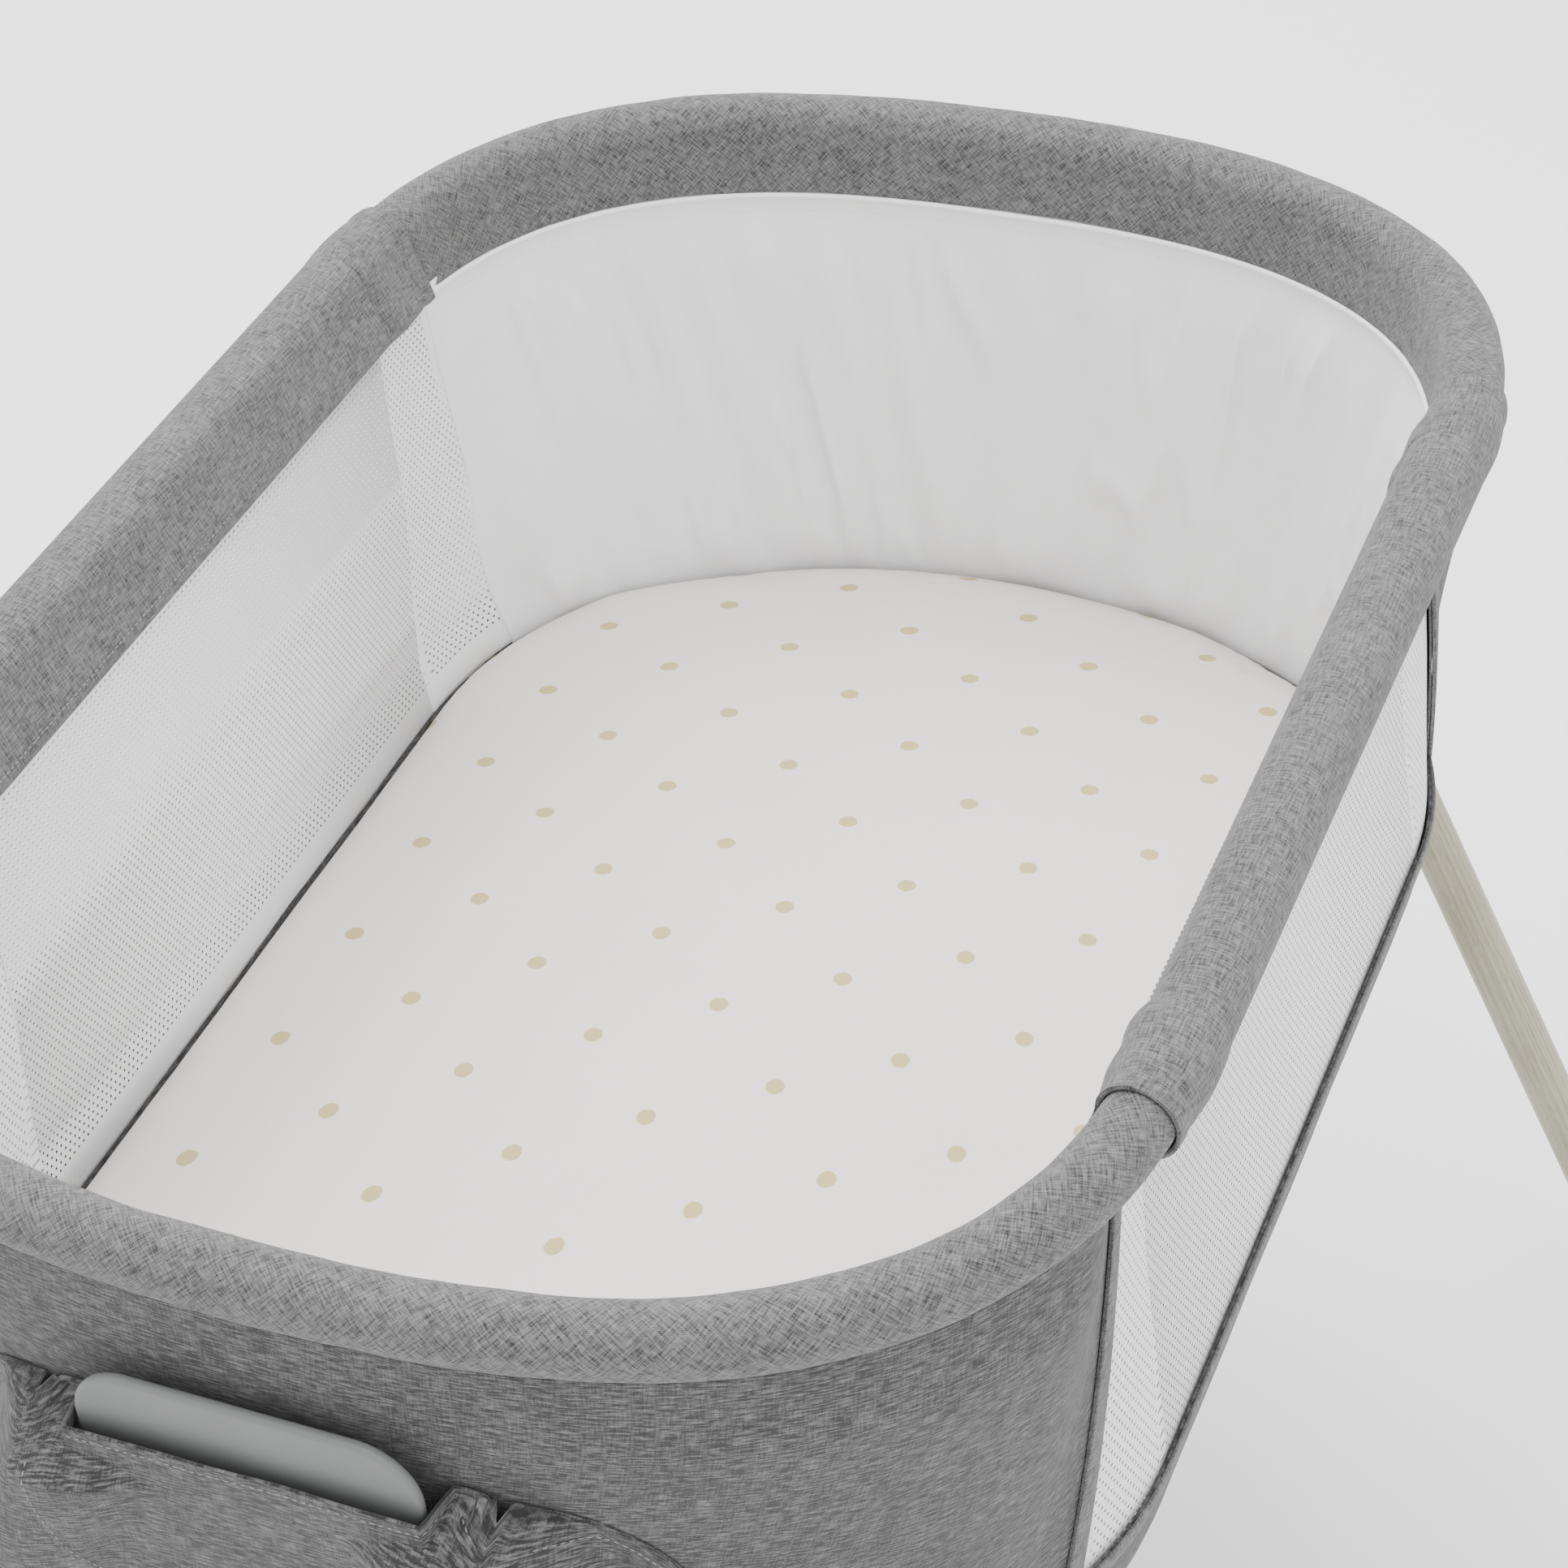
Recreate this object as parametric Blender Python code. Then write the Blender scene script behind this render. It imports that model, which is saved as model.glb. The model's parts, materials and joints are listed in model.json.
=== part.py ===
"""Portable bassinet on two detachable leg sets.

An oval padded rim stands over an oval base on two knee linkages, one inside each end wall. Mesh and cloth
walls hang between rim and base, so the rim folds straight down onto the mattress. Each leg set has a moulded
crown that slides up into a cloth pocket on the end wall and carries the base on a ledge; pressing its handle
pulls a bolt out of the base, and the leg set then drops away.

Metres, +Z up, the floor at z = 0, the long axis on Y. "far" is +Y, "near" is -Y, right is +X.
"""

from math import atan, cos, pi, radians, sin
from typing import NamedTuple

import bmesh
import bpy
from mathutils import Matrix, Vector


class Oval(NamedTuple):
    """Two straight sides on X, and two superellipse ends."""

    half_width: float
    straight: float
    depth: float
    power: float


# Rim
RIM_Z = 0.742
RIM = Oval(0.270, 0.3678, 0.2137, 2.506)
RIM_SEAM_SHARE = 0.245  # where a side sleeve meets an end cover, as a share of the end's depth
WALL_SEAM_SHARE = 0.270  # where mesh and end cloth meet
SLEEVE_R = 0.0161
COVER_R = 0.0137
STEEL_R = 0.009
STEEL_BORE_R = 0.0075
PADDING_BORE_R = 0.0101
SLIT_HALF_ANGLE = radians(30)
COLLAR_STEP = 0.005  # as a share of the end's depth
RAIL_STEPS = 6
ARC_STEPS = 15
WALL_STEPS = 16

# Base
BASE_STRAIGHT = 0.3757
BASE_POWER = 2.09
BASE_TOP_Z = 0.515
SHELL_LEVELS = (
    (0.2640, 0.3980, 0.515),
    (0.2542, 0.3925, 0.483),
    (0.2420, 0.3880, 0.459),
    (0.2240, 0.3720, 0.446),
)
SHELL_WALL = 0.0012
RING_Z = 0.454
RING_R = 0.0065
RING_OUTLINE = (0.2195, 0.3630)
BOARD_Z = (0.4608, 0.4636)
MATTRESS_Z = (0.4641, 0.487)
MATTRESS_TOP = (0.2515, 0.3766)
MATTRESS_BROW = 0.004
MATTRESS_FOOT = (0.2410, 0.3700)
SHEET_WALL = 0.0008
WALL_FOOT_Z = 0.4895
CLOTH = 0.0012
MESH = 0.001
GAP = 0.0004

# Fold linkage, given at the far end: v is the distance out along the long axis
BASE_PIVOT_Z = 0.508
TOP_PIVOT_Z = 0.707
OVER_CENTRE = radians(3)
LINK = (TOP_PIVOT_Z - BASE_PIVOT_Z) / 2 / cos(OVER_CENTRE)
LINK_R = 0.008
LOWER_V = (0.3835, 0.3885)
UPPER_V = (0.3890, 0.3940)
BRACKET_V = (0.3800, 0.3830)
HANGER_V = (0.3945, 0.3975)
PIN_R = 0.0029
PIN_HEAD_R = 0.0046
EYE_R = 0.00325

# Leg sets
LEG_V = 0.4210
LEG_TOP_X = 0.0372
LEG_SLOPE = 0.4338
LEG_R = 0.013
LEG_BORE_R = 0.0105
SOCKET_R = 0.0145
SOCKET_BORE_R = 0.0133
SOCKET_DEPTHS = (0.095, 0.190)
LEG_TOP_DEPTH = 0.110
FOOT_R = 0.0155
FOOT_TOP_Z = 0.045
LEG_FOOT_Z = 0.012
WEB_V = (0.4120, 0.4200)
HANDLE_V = (0.4135, 0.4185)
HANDLE_HALF_WIDTH = 0.0695
HANDLE_TOP_DEPTH = 0.047
HANDLE_CORNER_R = 0.024
BOLT_Z = 0.480
BOLT_R = 0.0038
BOLT_HOLE_R = 0.0042
LEDGE_Z = (0.440, 0.4545)
MOUNT_HALF_WIDTH = 0.050
POCKET_Z = (0.545, 0.658)
POCKET_GAP = 0.0025

ROUND = 12
TUBE_SIDES = 10
LEG_SIDES = 20
FAR, NEAR = 1, -1
RIGHT, LEFT = 1, -1


# ---------------------------------------------------------------- scene and materials


def clear_scene():
    for thing in list(bpy.data.objects):
        bpy.data.objects.remove(thing, do_unlink=True)


def linear(hex_colour):
    values = [int(hex_colour[i : i + 2], 16) / 255 for i in (0, 2, 4)]
    return [v / 12.92 if v <= 0.04045 else ((v + 0.055) / 1.055) ** 2.4 for v in values]


def material(name, hex_colour, roughness, metallic=0.0):
    made = bpy.data.materials.new(name)
    made.use_nodes = True
    shader = made.node_tree.nodes["Principled BSDF"]
    shader.inputs["Base Color"].default_value = (*linear(hex_colour), 1)
    shader.inputs["Roughness"].default_value = roughness
    shader.inputs["Metallic"].default_value = metallic
    return made


def make_materials():
    return {
        "melange": material("Grey melange cloth", "8E8E8E", 0.9),
        "mesh": material("White spacer mesh", "F2F2F2", 0.8),
        "liner": material("White coated liner", "EFEFEE", 0.55),
        "sheet": material("Off-white cotton jersey", "E6E2E0", 0.9),
        "foam": material("Polyurethane foam", "E8E0C8", 0.95),
        "board": material("Hardboard", "8B6B4A", 0.7),
        "steel": material("Zinc-plated steel", "9A9DA0", 0.4, 1.0),
        "moulding": material("Light grey polypropylene", "959697", 0.45),
        "nylon": material("Dark grey nylon", "3A3A3C", 0.5),
        "leg": material("Whitewashed wood", "C6C3B4", 0.55),
        "rubber": material("Grey rubber", "5A5A5A", 0.8),
    }


# ---------------------------------------------------------------- outlines


def oval_point(oval, station, offset=0.0):
    """A point of the oval moved out by offset. A station is (end, side, share of the end's depth)."""
    end, side, share = station
    across = (1 - share**oval.power) ** (1 / oval.power)
    normal = Vector((
        side * across ** (oval.power - 1) / oval.half_width,
        end * share ** (oval.power - 1) / oval.depth,
    )).normalized()
    point = Vector((side * oval.half_width * across, end * (oval.straight / 2 + oval.depth * share)))
    return point + offset * normal


def oval_v(oval, x):
    """How far out along the long axis the oval's end reaches at x."""
    share = min(abs(x) / oval.half_width, 1)
    return oval.straight / 2 + oval.depth * (1 - share**oval.power) ** (1 / oval.power)


def base_oval(half_width, tip):
    return Oval(half_width, BASE_STRAIGHT, tip - BASE_STRAIGHT / 2, BASE_POWER)


def share_at(angle):
    return max(sin(angle), 0.0)


def end_stations(end, first, count):
    """Stations round one end from the right to the left, set in at both by the angle first."""
    angles = [first + (pi - 2 * first) * i / (count - 1) for i in range(count)]
    return [(end, RIGHT if angle <= pi / 2 else LEFT, share_at(angle)) for angle in angles]


def side_stations(side, last, count):
    """Stations along one side, from the near seam to the far seam."""
    angles = [last * i / (count - 1) for i in range(count)]
    return [(NEAR, side, share_at(a)) for a in reversed(angles)] + [(FAR, side, share_at(a)) for a in angles]


def full_stations(count):
    """Stations once round the oval, against the clock seen from above."""
    angles = [pi * i / (count - 1) for i in range(count)]
    far = [(FAR, RIGHT if a <= pi / 2 else LEFT, share_at(a)) for a in angles]
    near = [(NEAR, RIGHT if a <= pi / 2 else LEFT, share_at(a)) for a in reversed(angles)]
    return far + near


def seam_angle(share):
    """The angle whose share is the one given."""
    low, high = 0.0, pi / 2
    for _ in range(40):
        middle = (low + high) / 2
        low, high = (middle, high) if share_at(middle) < share else (low, middle)
    return low


RIM_SEAM = seam_angle(RIM_SEAM_SHARE)
WALL_SEAM = seam_angle(WALL_SEAM_SHARE)
SEAM_STEP = 0.004
WALL_SEAM_STEP = 0.010


def circle(radius, count=ROUND, start=0.0, turn=2 * pi):
    """Points round a circle; a whole turn leaves out the repeated last one."""
    last = count if abs(turn) > 2 * pi - 1e-6 else count - 1
    angles = [start + turn * i / last for i in range(count)]
    return [(radius * cos(angle), radius * sin(angle)) for angle in angles]


def leg_x(z):
    return LEG_TOP_X + LEG_SLOPE * (RIM_Z - z)


# ---------------------------------------------------------------- building


def finish(name, mesh_data, finish_name, materials, turn=None, smooth=True):
    """Turns a bmesh into a named object with outward faces. turn places a far-end piece at the near end."""
    bmesh.ops.recalc_face_normals(mesh_data, faces=mesh_data.faces)
    if turn is not None:
        bmesh.ops.transform(mesh_data, matrix=turn, verts=mesh_data.verts)
    mesh = bpy.data.meshes.new(name)
    mesh_data.to_mesh(mesh)
    mesh_data.free()
    mesh.materials.append(materials[finish_name])
    if smooth:
        mesh.shade_smooth()
        mesh.set_sharp_from_angle(angle=radians(35))
    made = bpy.data.objects.new(name, mesh)
    bpy.context.collection.objects.link(made)
    return made


def skin(rings, bores=None, closed=False):
    """A bmesh through rings of points, hollow where bores gives an inner ring for each."""
    work = bmesh.new()

    def walls(loops):
        made = [[work.verts.new(point) for point in loop] for loop in loops]
        pairs = list(zip(made, made[1:]))
        if closed:
            pairs.append((made[-1], made[0]))
        for one, two in pairs:
            for i in range(len(one)):
                j = (i + 1) % len(one)
                work.faces.new((one[i], one[j], two[j], two[i]))
        return made

    outer = walls(rings)
    if bores is None:
        if not closed:
            work.faces.new(outer[0])
            work.faces.new(outer[-1])
        return work
    inner = walls(bores)
    if not closed:
        for one, two in ((outer[0], inner[0]), (outer[-1], inner[-1])):
            for i in range(len(one)):
                j = (i + 1) % len(one)
                work.faces.new((one[i], one[j], two[j], two[i]))
    return work


def station_ring(station, section):
    """The section, a list of (oval, offset, z), at one station."""
    return [(*oval_point(oval, station, offset), z) for oval, offset, z in section]


def rim_section(points):
    return [(RIM, offset, RIM_Z + height) for offset, height in points]


def cloth_section(levels, thickness):
    """A thin wall through levels of (oval, offset, z) on its outer face."""
    inner = [(oval, offset - thickness, z) for oval, offset, z in reversed(levels)]
    return list(levels) + inner


def plate(outline, low, high):
    """A bmesh of an outline in the XZ plane, from v = low to v = high."""
    work = bmesh.new()
    face = work.faces.new([work.verts.new((x, low, z)) for x, z in outline])
    grown = bmesh.ops.extrude_face_region(work, geom=[face])
    moved = [item for item in grown["geom"] if isinstance(item, bmesh.types.BMVert)]
    bmesh.ops.translate(work, verts=moved, vec=(0, high - low, 0))
    return work


def bar(outline, low, high):
    """A bmesh of an outline in the (v, z) plane, from x = low to x = high."""
    work = bmesh.new()
    face = work.faces.new([work.verts.new((low, v, z)) for v, z in outline])
    grown = bmesh.ops.extrude_face_region(work, geom=[face])
    moved = [item for item in grown["geom"] if isinstance(item, bmesh.types.BMVert)]
    bmesh.ops.translate(work, verts=moved, vec=(high - low, 0, 0))
    return work


def turned(profile, centre):
    """A bmesh turned about the line through centre along +Y; profile is (v, radius) from end to end."""
    return skin([[(centre[0] + x, v, centre[1] + z) for x, z in circle(radius)] for v, radius in profile])


def rod(start, stop, radius, count=ROUND):
    """A bmesh cylinder from start to stop."""
    return skin(rod_rings(start, stop, radius, count))


def rod_rings(start, stop, radius, count=ROUND):
    start, stop = Vector(start), Vector(stop)
    spin = (stop - start).to_track_quat("Z", "Y")
    ring = [spin @ Vector((x, y, 0)) for x, y in circle(radius, count)]
    return [[end + point for point in ring] for end in (start, stop)]


def cut(target, name, cutter_bmesh, turn, operation="DIFFERENCE"):
    """Cuts or joins with a hidden helper."""
    helper = finish(name, cutter_bmesh, "helper", {"helper": target.data.materials[0]}, turn, smooth=False)
    helper.hide_render = True
    helper.display_type = "WIRE"
    step = target.modifiers.new(name, "BOOLEAN")
    step.operation = operation
    step.solver = "EXACT"
    step.object = helper
    return helper


def body(name, location, members):
    """An empty on the joint's axis that carries the members."""
    carrier = bpy.data.objects.new(name, None)
    carrier.location = location
    bpy.context.collection.objects.link(carrier)
    bpy.context.view_layer.update()
    for member in members:
        member.parent = carrier
        member.matrix_parent_inverse = carrier.matrix_world.inverted()
    return carrier


# ---------------------------------------------------------------- rim


def padding_section(radius, hem, thickness=0.0018):
    """Padded cloth round the tube, slit below; a flap hangs inside it to the hem at (offset, height)."""
    low, high = 1.5 * pi + SLIT_HALF_ANGLE, 1.5 * pi - SLIT_HALF_ANGLE
    flap_angle = radians(172)
    outer = circle(radius, 10, low - 2 * pi, flap_angle - (low - 2 * pi))
    back = (hem[0] + thickness, hem[1])
    lip = circle(radius, 3, radians(200), high - radians(200))
    bore = circle(PADDING_BORE_R, 9, high, low - 2 * pi - high)
    return outer + [hem, back] + lip + bore


def make_rails(materials):
    made = []
    hem = (-0.0264, -0.0272)
    for side, word in ((LEFT, "left"), (RIGHT, "right")):
        stations = side_stations(side, RIM_SEAM - SEAM_STEP, RAIL_STEPS)
        section = rim_section(padding_section(SLEEVE_R, hem))
        made.append(finish(f"rail_sleeve_{word}", skin([station_ring(s, section) for s in stations]),
                           "melange", materials))
        made.append(steel_tube(f"rail_tube_{word}", stations[1:-1], materials))
    return made


def make_arcs(materials):
    made = []
    hem = (-0.0172, -0.0300)
    for end, word in ((NEAR, "near"), (FAR, "far")):
        stations = end_stations(end, RIM_SEAM + SEAM_STEP, ARC_STEPS)
        section = rim_section(padding_section(COVER_R, hem, 0.0015))
        made.append(finish(f"arc_cover_{word}", skin([station_ring(s, section) for s in stations]),
                           "melange", materials))
        made.append(steel_tube(f"arc_tube_{word}", stations[1:-1], materials))
    return made


def steel_tube(name, stations, materials):
    rings = [station_ring(s, rim_section(circle(STEEL_R, TUBE_SIDES))) for s in stations]
    bores = [station_ring(s, rim_section(circle(STEEL_BORE_R, TUBE_SIDES))) for s in stations]
    return finish(name, skin(rings, bores), "steel", materials)


def make_connectors(materials):
    """A nylon spigot in each corner, inside both tube ends, with a collar between them."""
    made = []
    rail = [share for _, _, share in side_stations(RIGHT, RIM_SEAM - SEAM_STEP, RAIL_STEPS)[-3:]]
    arc = [share for _, _, share in end_stations(FAR, RIM_SEAM + SEAM_STEP, ARC_STEPS)[:3]]
    inner, outer = (STEEL_BORE_R - GAP) * cos(pi / TUBE_SIDES), STEEL_R
    near_step, far_step = rail[1] + COLLAR_STEP, arc[1] - COLLAR_STEP
    steps = (
        (rail[0], inner), (rail[1], inner), (near_step, inner), (near_step, outer), (rail[2], outer),
        (arc[0], outer), (far_step, outer), (far_step, inner), (arc[1], inner), (arc[2], inner),
    )
    for end, end_word in ((NEAR, "near"), (FAR, "far")):
        for side, side_word in ((LEFT, "left"), (RIGHT, "right")):
            rings = [station_ring((end, side, share), rim_section(circle(radius, TUBE_SIDES)))
                     for share, radius in steps]
            name = f"corner_connector_{end_word}_{side_word}"
            made.append(finish(name, skin(rings), "nylon", materials))
    return made


# ---------------------------------------------------------------- base


def make_base(materials):
    full = full_stations(25)
    levels = [(base_oval(width, tip), 0.0, z) for width, tip, z in SHELL_LEVELS]
    shell = tray(full, levels)
    lower_shell = finish("lower_shell", shell, "melange", materials)
    thicken(lower_shell, SHELL_WALL)

    ring_oval = base_oval(*RING_OUTLINE)
    ring = [(ring_oval, x, RING_Z + z) for x, z in circle(RING_R, 8)]
    finish("base_ring", skin([station_ring(s, ring) for s in full_stations(19)], closed=True), "steel",
           materials)
    reach = RING_OUTLINE[0] - RING_R - GAP
    for y, word in ((-0.12, "near"), (0.12, "far")):
        finish(f"base_crossbar_{word}", rod((-reach, y, RING_Z), (reach, y, RING_Z), RING_R - 0.0005, 12),
               "steel", materials)

    board = base_oval(0.236, 0.355)
    finish("mattress_board", solid_stack(full_stations(17), [(board, 0.0, z) for z in BOARD_Z]), "board",
           materials)
    low, high = MATTRESS_Z
    top, foot = base_oval(*MATTRESS_TOP), base_oval(*MATTRESS_FOOT)
    inset = SHEET_WALL + GAP
    shoulder = high - 0.005
    core = [
        (foot, -inset, low + inset), (top, -inset, shoulder), (top, -MATTRESS_BROW - inset, high - inset),
    ]
    finish("mattress_core", solid_stack(full, core), "foam", materials)
    cover = [(foot, 0.0, low), (top, 0.0, shoulder), (top, -MATTRESS_BROW, high)]
    thicken(finish("fitted_sheet", tray(full, cover), "sheet", materials), SHEET_WALL)


def solid_stack(stations, levels):
    """A solid through level outlines, closed at both ends."""
    return skin([[(*oval_point(oval, s, offset), z) for s in stations] for oval, offset, z in levels])


def tray(stations, levels):
    """An open skin through level outlines whose last level is closed by a flat face."""
    work = solid_stack(stations, levels)
    work.faces.ensure_lookup_table()
    bmesh.ops.delete(work, geom=[work.faces[-2]], context="FACES_ONLY")
    return work


def thicken(target, wall):
    step = target.modifiers.new("Wall", "SOLIDIFY")
    step.thickness = wall
    step.offset = -1
    step.use_even_offset = True


# ---------------------------------------------------------------- walls


PANEL_TOP = (RIM, 0.0074, RIM_Z - 0.0145)
PANEL_WAIST = (RIM, 0.0085, 0.690)
PANEL_FOOT = (base_oval(0.2640, 0.3980), 0.0, BASE_TOP_Z + 2 * GAP)


def panel_v(x, z):
    """The outer face of the end panel at (x, z), between its waist and its foot."""
    share = (z - PANEL_FOOT[2]) / (PANEL_WAIST[2] - PANEL_FOOT[2])
    return (1 - share) * oval_v(PANEL_FOOT[0], x) + share * (oval_v(RIM, x) + PANEL_WAIST[1])


def make_walls(materials):
    brow = base_oval(0.2620, 0.3955)
    foot = base_oval(0.2542, 0.3910)
    mesh_levels = [(foot, 0.0, WALL_FOOT_Z), (brow, 0.0, BASE_TOP_Z), (RIM, -0.0192, 0.7245)]
    mesh_section = cloth_section(mesh_levels, MESH)
    for side, word in ((LEFT, "left"), (RIGHT, "right")):
        stations = side_stations(side, WALL_SEAM - WALL_SEAM_STEP, 5)
        finish(f"mesh_wall_{word}", skin([station_ring(s, mesh_section) for s in stations]), "mesh",
               materials)
    liner_foot = base_oval(0.2544, 0.3790)
    liner_brow = base_oval(0.2590, 0.3795)
    liner_levels = [(liner_foot, 0.0, WALL_FOOT_Z), (liner_brow, 0.0, 0.530), (RIM, -0.0124, 0.720)]
    liner_section = cloth_section(liner_levels, CLOTH)
    panel_section = cloth_section([PANEL_FOOT, PANEL_WAIST, PANEL_TOP], CLOTH)
    for end, word in ((NEAR, "near"), (FAR, "far")):
        stations = end_stations(end, WALL_SEAM + WALL_SEAM_STEP, WALL_STEPS)
        finish(f"end_liner_{word}", skin([station_ring(s, liner_section) for s in stations]), "liner",
               materials)
        finish(f"end_panel_{word}", skin([station_ring(s, panel_section) for s in stations]), "melange",
               materials)


def pocket_ring(z):
    """The pocket's plan at height z: snug over the crown's web, and swollen over its two leg sockets."""
    centre = leg_x(z)
    reach = centre + 0.045
    half = [
        (reach, panel_v(reach, z) + CLOTH + POCKET_GAP),
        (centre + 0.030, 0.4130),
        (centre + 0.018, LEG_V + 0.0135),
        (centre, LEG_V + 0.0163),
        (centre - 0.018, LEG_V + 0.0130),
        (centre - 0.032, 0.4225),
        (centre - 0.045, WEB_V[1] + CLOTH + GAP),
    ]
    outer = half + [(-x, v) for x, v in reversed(half)]
    inner = [(x, v - CLOTH) for x, v in reversed(outer)]
    return [(x, v, z) for x, v in outer + inner]


# ---------------------------------------------------------------- fold linkage


def stadium(one, two, radius, count=6):
    """A round-ended bar between two (x, z) points."""
    along = Vector((two[0] - one[0], two[1] - one[1])).normalized()
    start = Vector((-along.y, along.x))
    points = []
    for centre, sign in ((one, 1), (two, -1)):
        for i in range(count):
            spin = Matrix.Rotation(pi * i / (count - 1), 2)
            points.append(tuple(Vector(centre) + radius * (spin @ (sign * start))))
    return points


def linkage(end, word, materials):
    """The knee linkage of one end, standing just past dead centre."""
    turn = None if end == FAR else Matrix.Rotation(pi, 4, "Z")
    knee = (LINK * sin(OVER_CENTRE), BASE_PIVOT_Z + LINK * cos(OVER_CENTRE))
    low, high = (0.0, BASE_PIVOT_Z), (0.0, TOP_PIVOT_Z)

    def link(name, one, two, layer):
        made = finish(name, plate(stadium(one, two, LINK_R), *layer), "steel", materials, turn, smooth=False)
        for spot, tag in ((one, "a"), (two, "b")):
            through = [(layer[0] - 0.002, EYE_R), (layer[1] + 0.002, EYE_R)]
            cut(made, f"{name}_eye_{tag}", turned(through, spot), turn)
        return made

    def pin(name, spot, span, heads):
        profile = []
        if heads[0]:
            profile += [(span[0] - heads[0], PIN_HEAD_R), (span[0], PIN_HEAD_R)]
        profile += [(span[0], PIN_R), (span[1], PIN_R)]
        if heads[1]:
            profile += [(span[1], PIN_HEAD_R), (span[1] + heads[1], PIN_HEAD_R)]
        return finish(name, turned(profile, spot), "steel", materials, turn)

    foot_v = 0.3560
    bracket = finish(f"fold_bracket_{word}", bar([
        (foot_v, BOARD_Z[0]), (BRACKET_V[1], BOARD_Z[0]), (BRACKET_V[1], BASE_PIVOT_Z + 0.012),
        (BRACKET_V[0], BASE_PIVOT_Z + 0.012), (BRACKET_V[0], BOARD_Z[1]), (foot_v, BOARD_Z[1])], -0.03, 0.03),
        "steel", materials, turn, smooth=False)
    cut(bracket, f"fold_bracket_{word}_eye", turned([(0.375, EYE_R), (0.390, EYE_R)], low), turn)

    hanger_top = RIM_Z - STEEL_R - GAP
    hanger = finish(f"rim_hanger_{word}", bar([
        (HANGER_V[0], TOP_PIVOT_Z - 0.010), (HANGER_V[1], TOP_PIVOT_Z - 0.010), (HANGER_V[1], 0.722),
        (0.4022, 0.722), (0.4022, hanger_top), (0.3930, hanger_top), (0.3930, 0.724), (HANGER_V[0], 0.722)],
        -0.014, 0.014), "nylon", materials, turn, smooth=False)
    cut(hanger, f"rim_hanger_{word}_eye", turned([(0.390, EYE_R), (0.402, EYE_R)], high), turn)

    pin(f"base_pin_{word}", low, (BRACKET_V[0] + GAP, LOWER_V[1] + GAP), (0, 0.0015))
    lower = link(f"lower_link_{word}", low, knee, LOWER_V)
    knee_pin = pin(f"knee_pin_{word}", knee, (LOWER_V[0] - GAP, UPPER_V[1] + GAP), (0, 0.0015))
    upper = link(f"upper_link_{word}", knee, high, UPPER_V)
    top_pin = pin(f"top_pin_{word}", high, (UPPER_V[0] - GAP, HANGER_V[1] + GAP), (0.0012, 0.0012))

    flip = 1 if end == FAR else -1
    middle = (LOWER_V[0] + UPPER_V[1]) / 2
    body(f"lower_link_{word}_axis", (0, end * middle, BASE_PIVOT_Z), [lower, knee_pin])
    body(f"upper_link_{word}_axis", (flip * knee[0], end * middle, knee[1]), [upper])
    return [hanger, top_pin]


# ---------------------------------------------------------------- leg sets


def crown_outline():
    """The crown's web: a broad head between the leg sockets, and a tongue down to the ledge."""
    half = [(0.0, 0.656), (0.0765, 0.656), (0.0900, 0.640), (0.1150, 0.566), (0.1020, 0.556),
            (0.0660, 0.590), (MOUNT_HALF_WIDTH + 0.004, 0.570), (MOUNT_HALF_WIDTH, 0.540),
            (MOUNT_HALF_WIDTH, LEDGE_Z[0])]
    return half + [(-x, z) for x, z in reversed(half) if x > 0]


def handle_outline():
    """A plate with broad round shoulders, wider than high."""
    top, low = RIM_Z - HANDLE_TOP_DEPTH, 0.634
    centre = (HANDLE_HALF_WIDTH - HANDLE_CORNER_R, top - HANDLE_CORNER_R)
    count = 6
    corner = [(centre[0] + HANDLE_CORNER_R * cos(pi / 2 * i / (count - 1)),
               centre[1] + HANDLE_CORNER_R * sin(pi / 2 * i / (count - 1))) for i in range(count)]
    half = [(HANDLE_HALF_WIDTH, low)] + corner
    return half + [(-x, z) for x, z in reversed(half)]


def leg_point(side, z):
    return Vector((side * leg_x(z), LEG_V, z))


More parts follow.
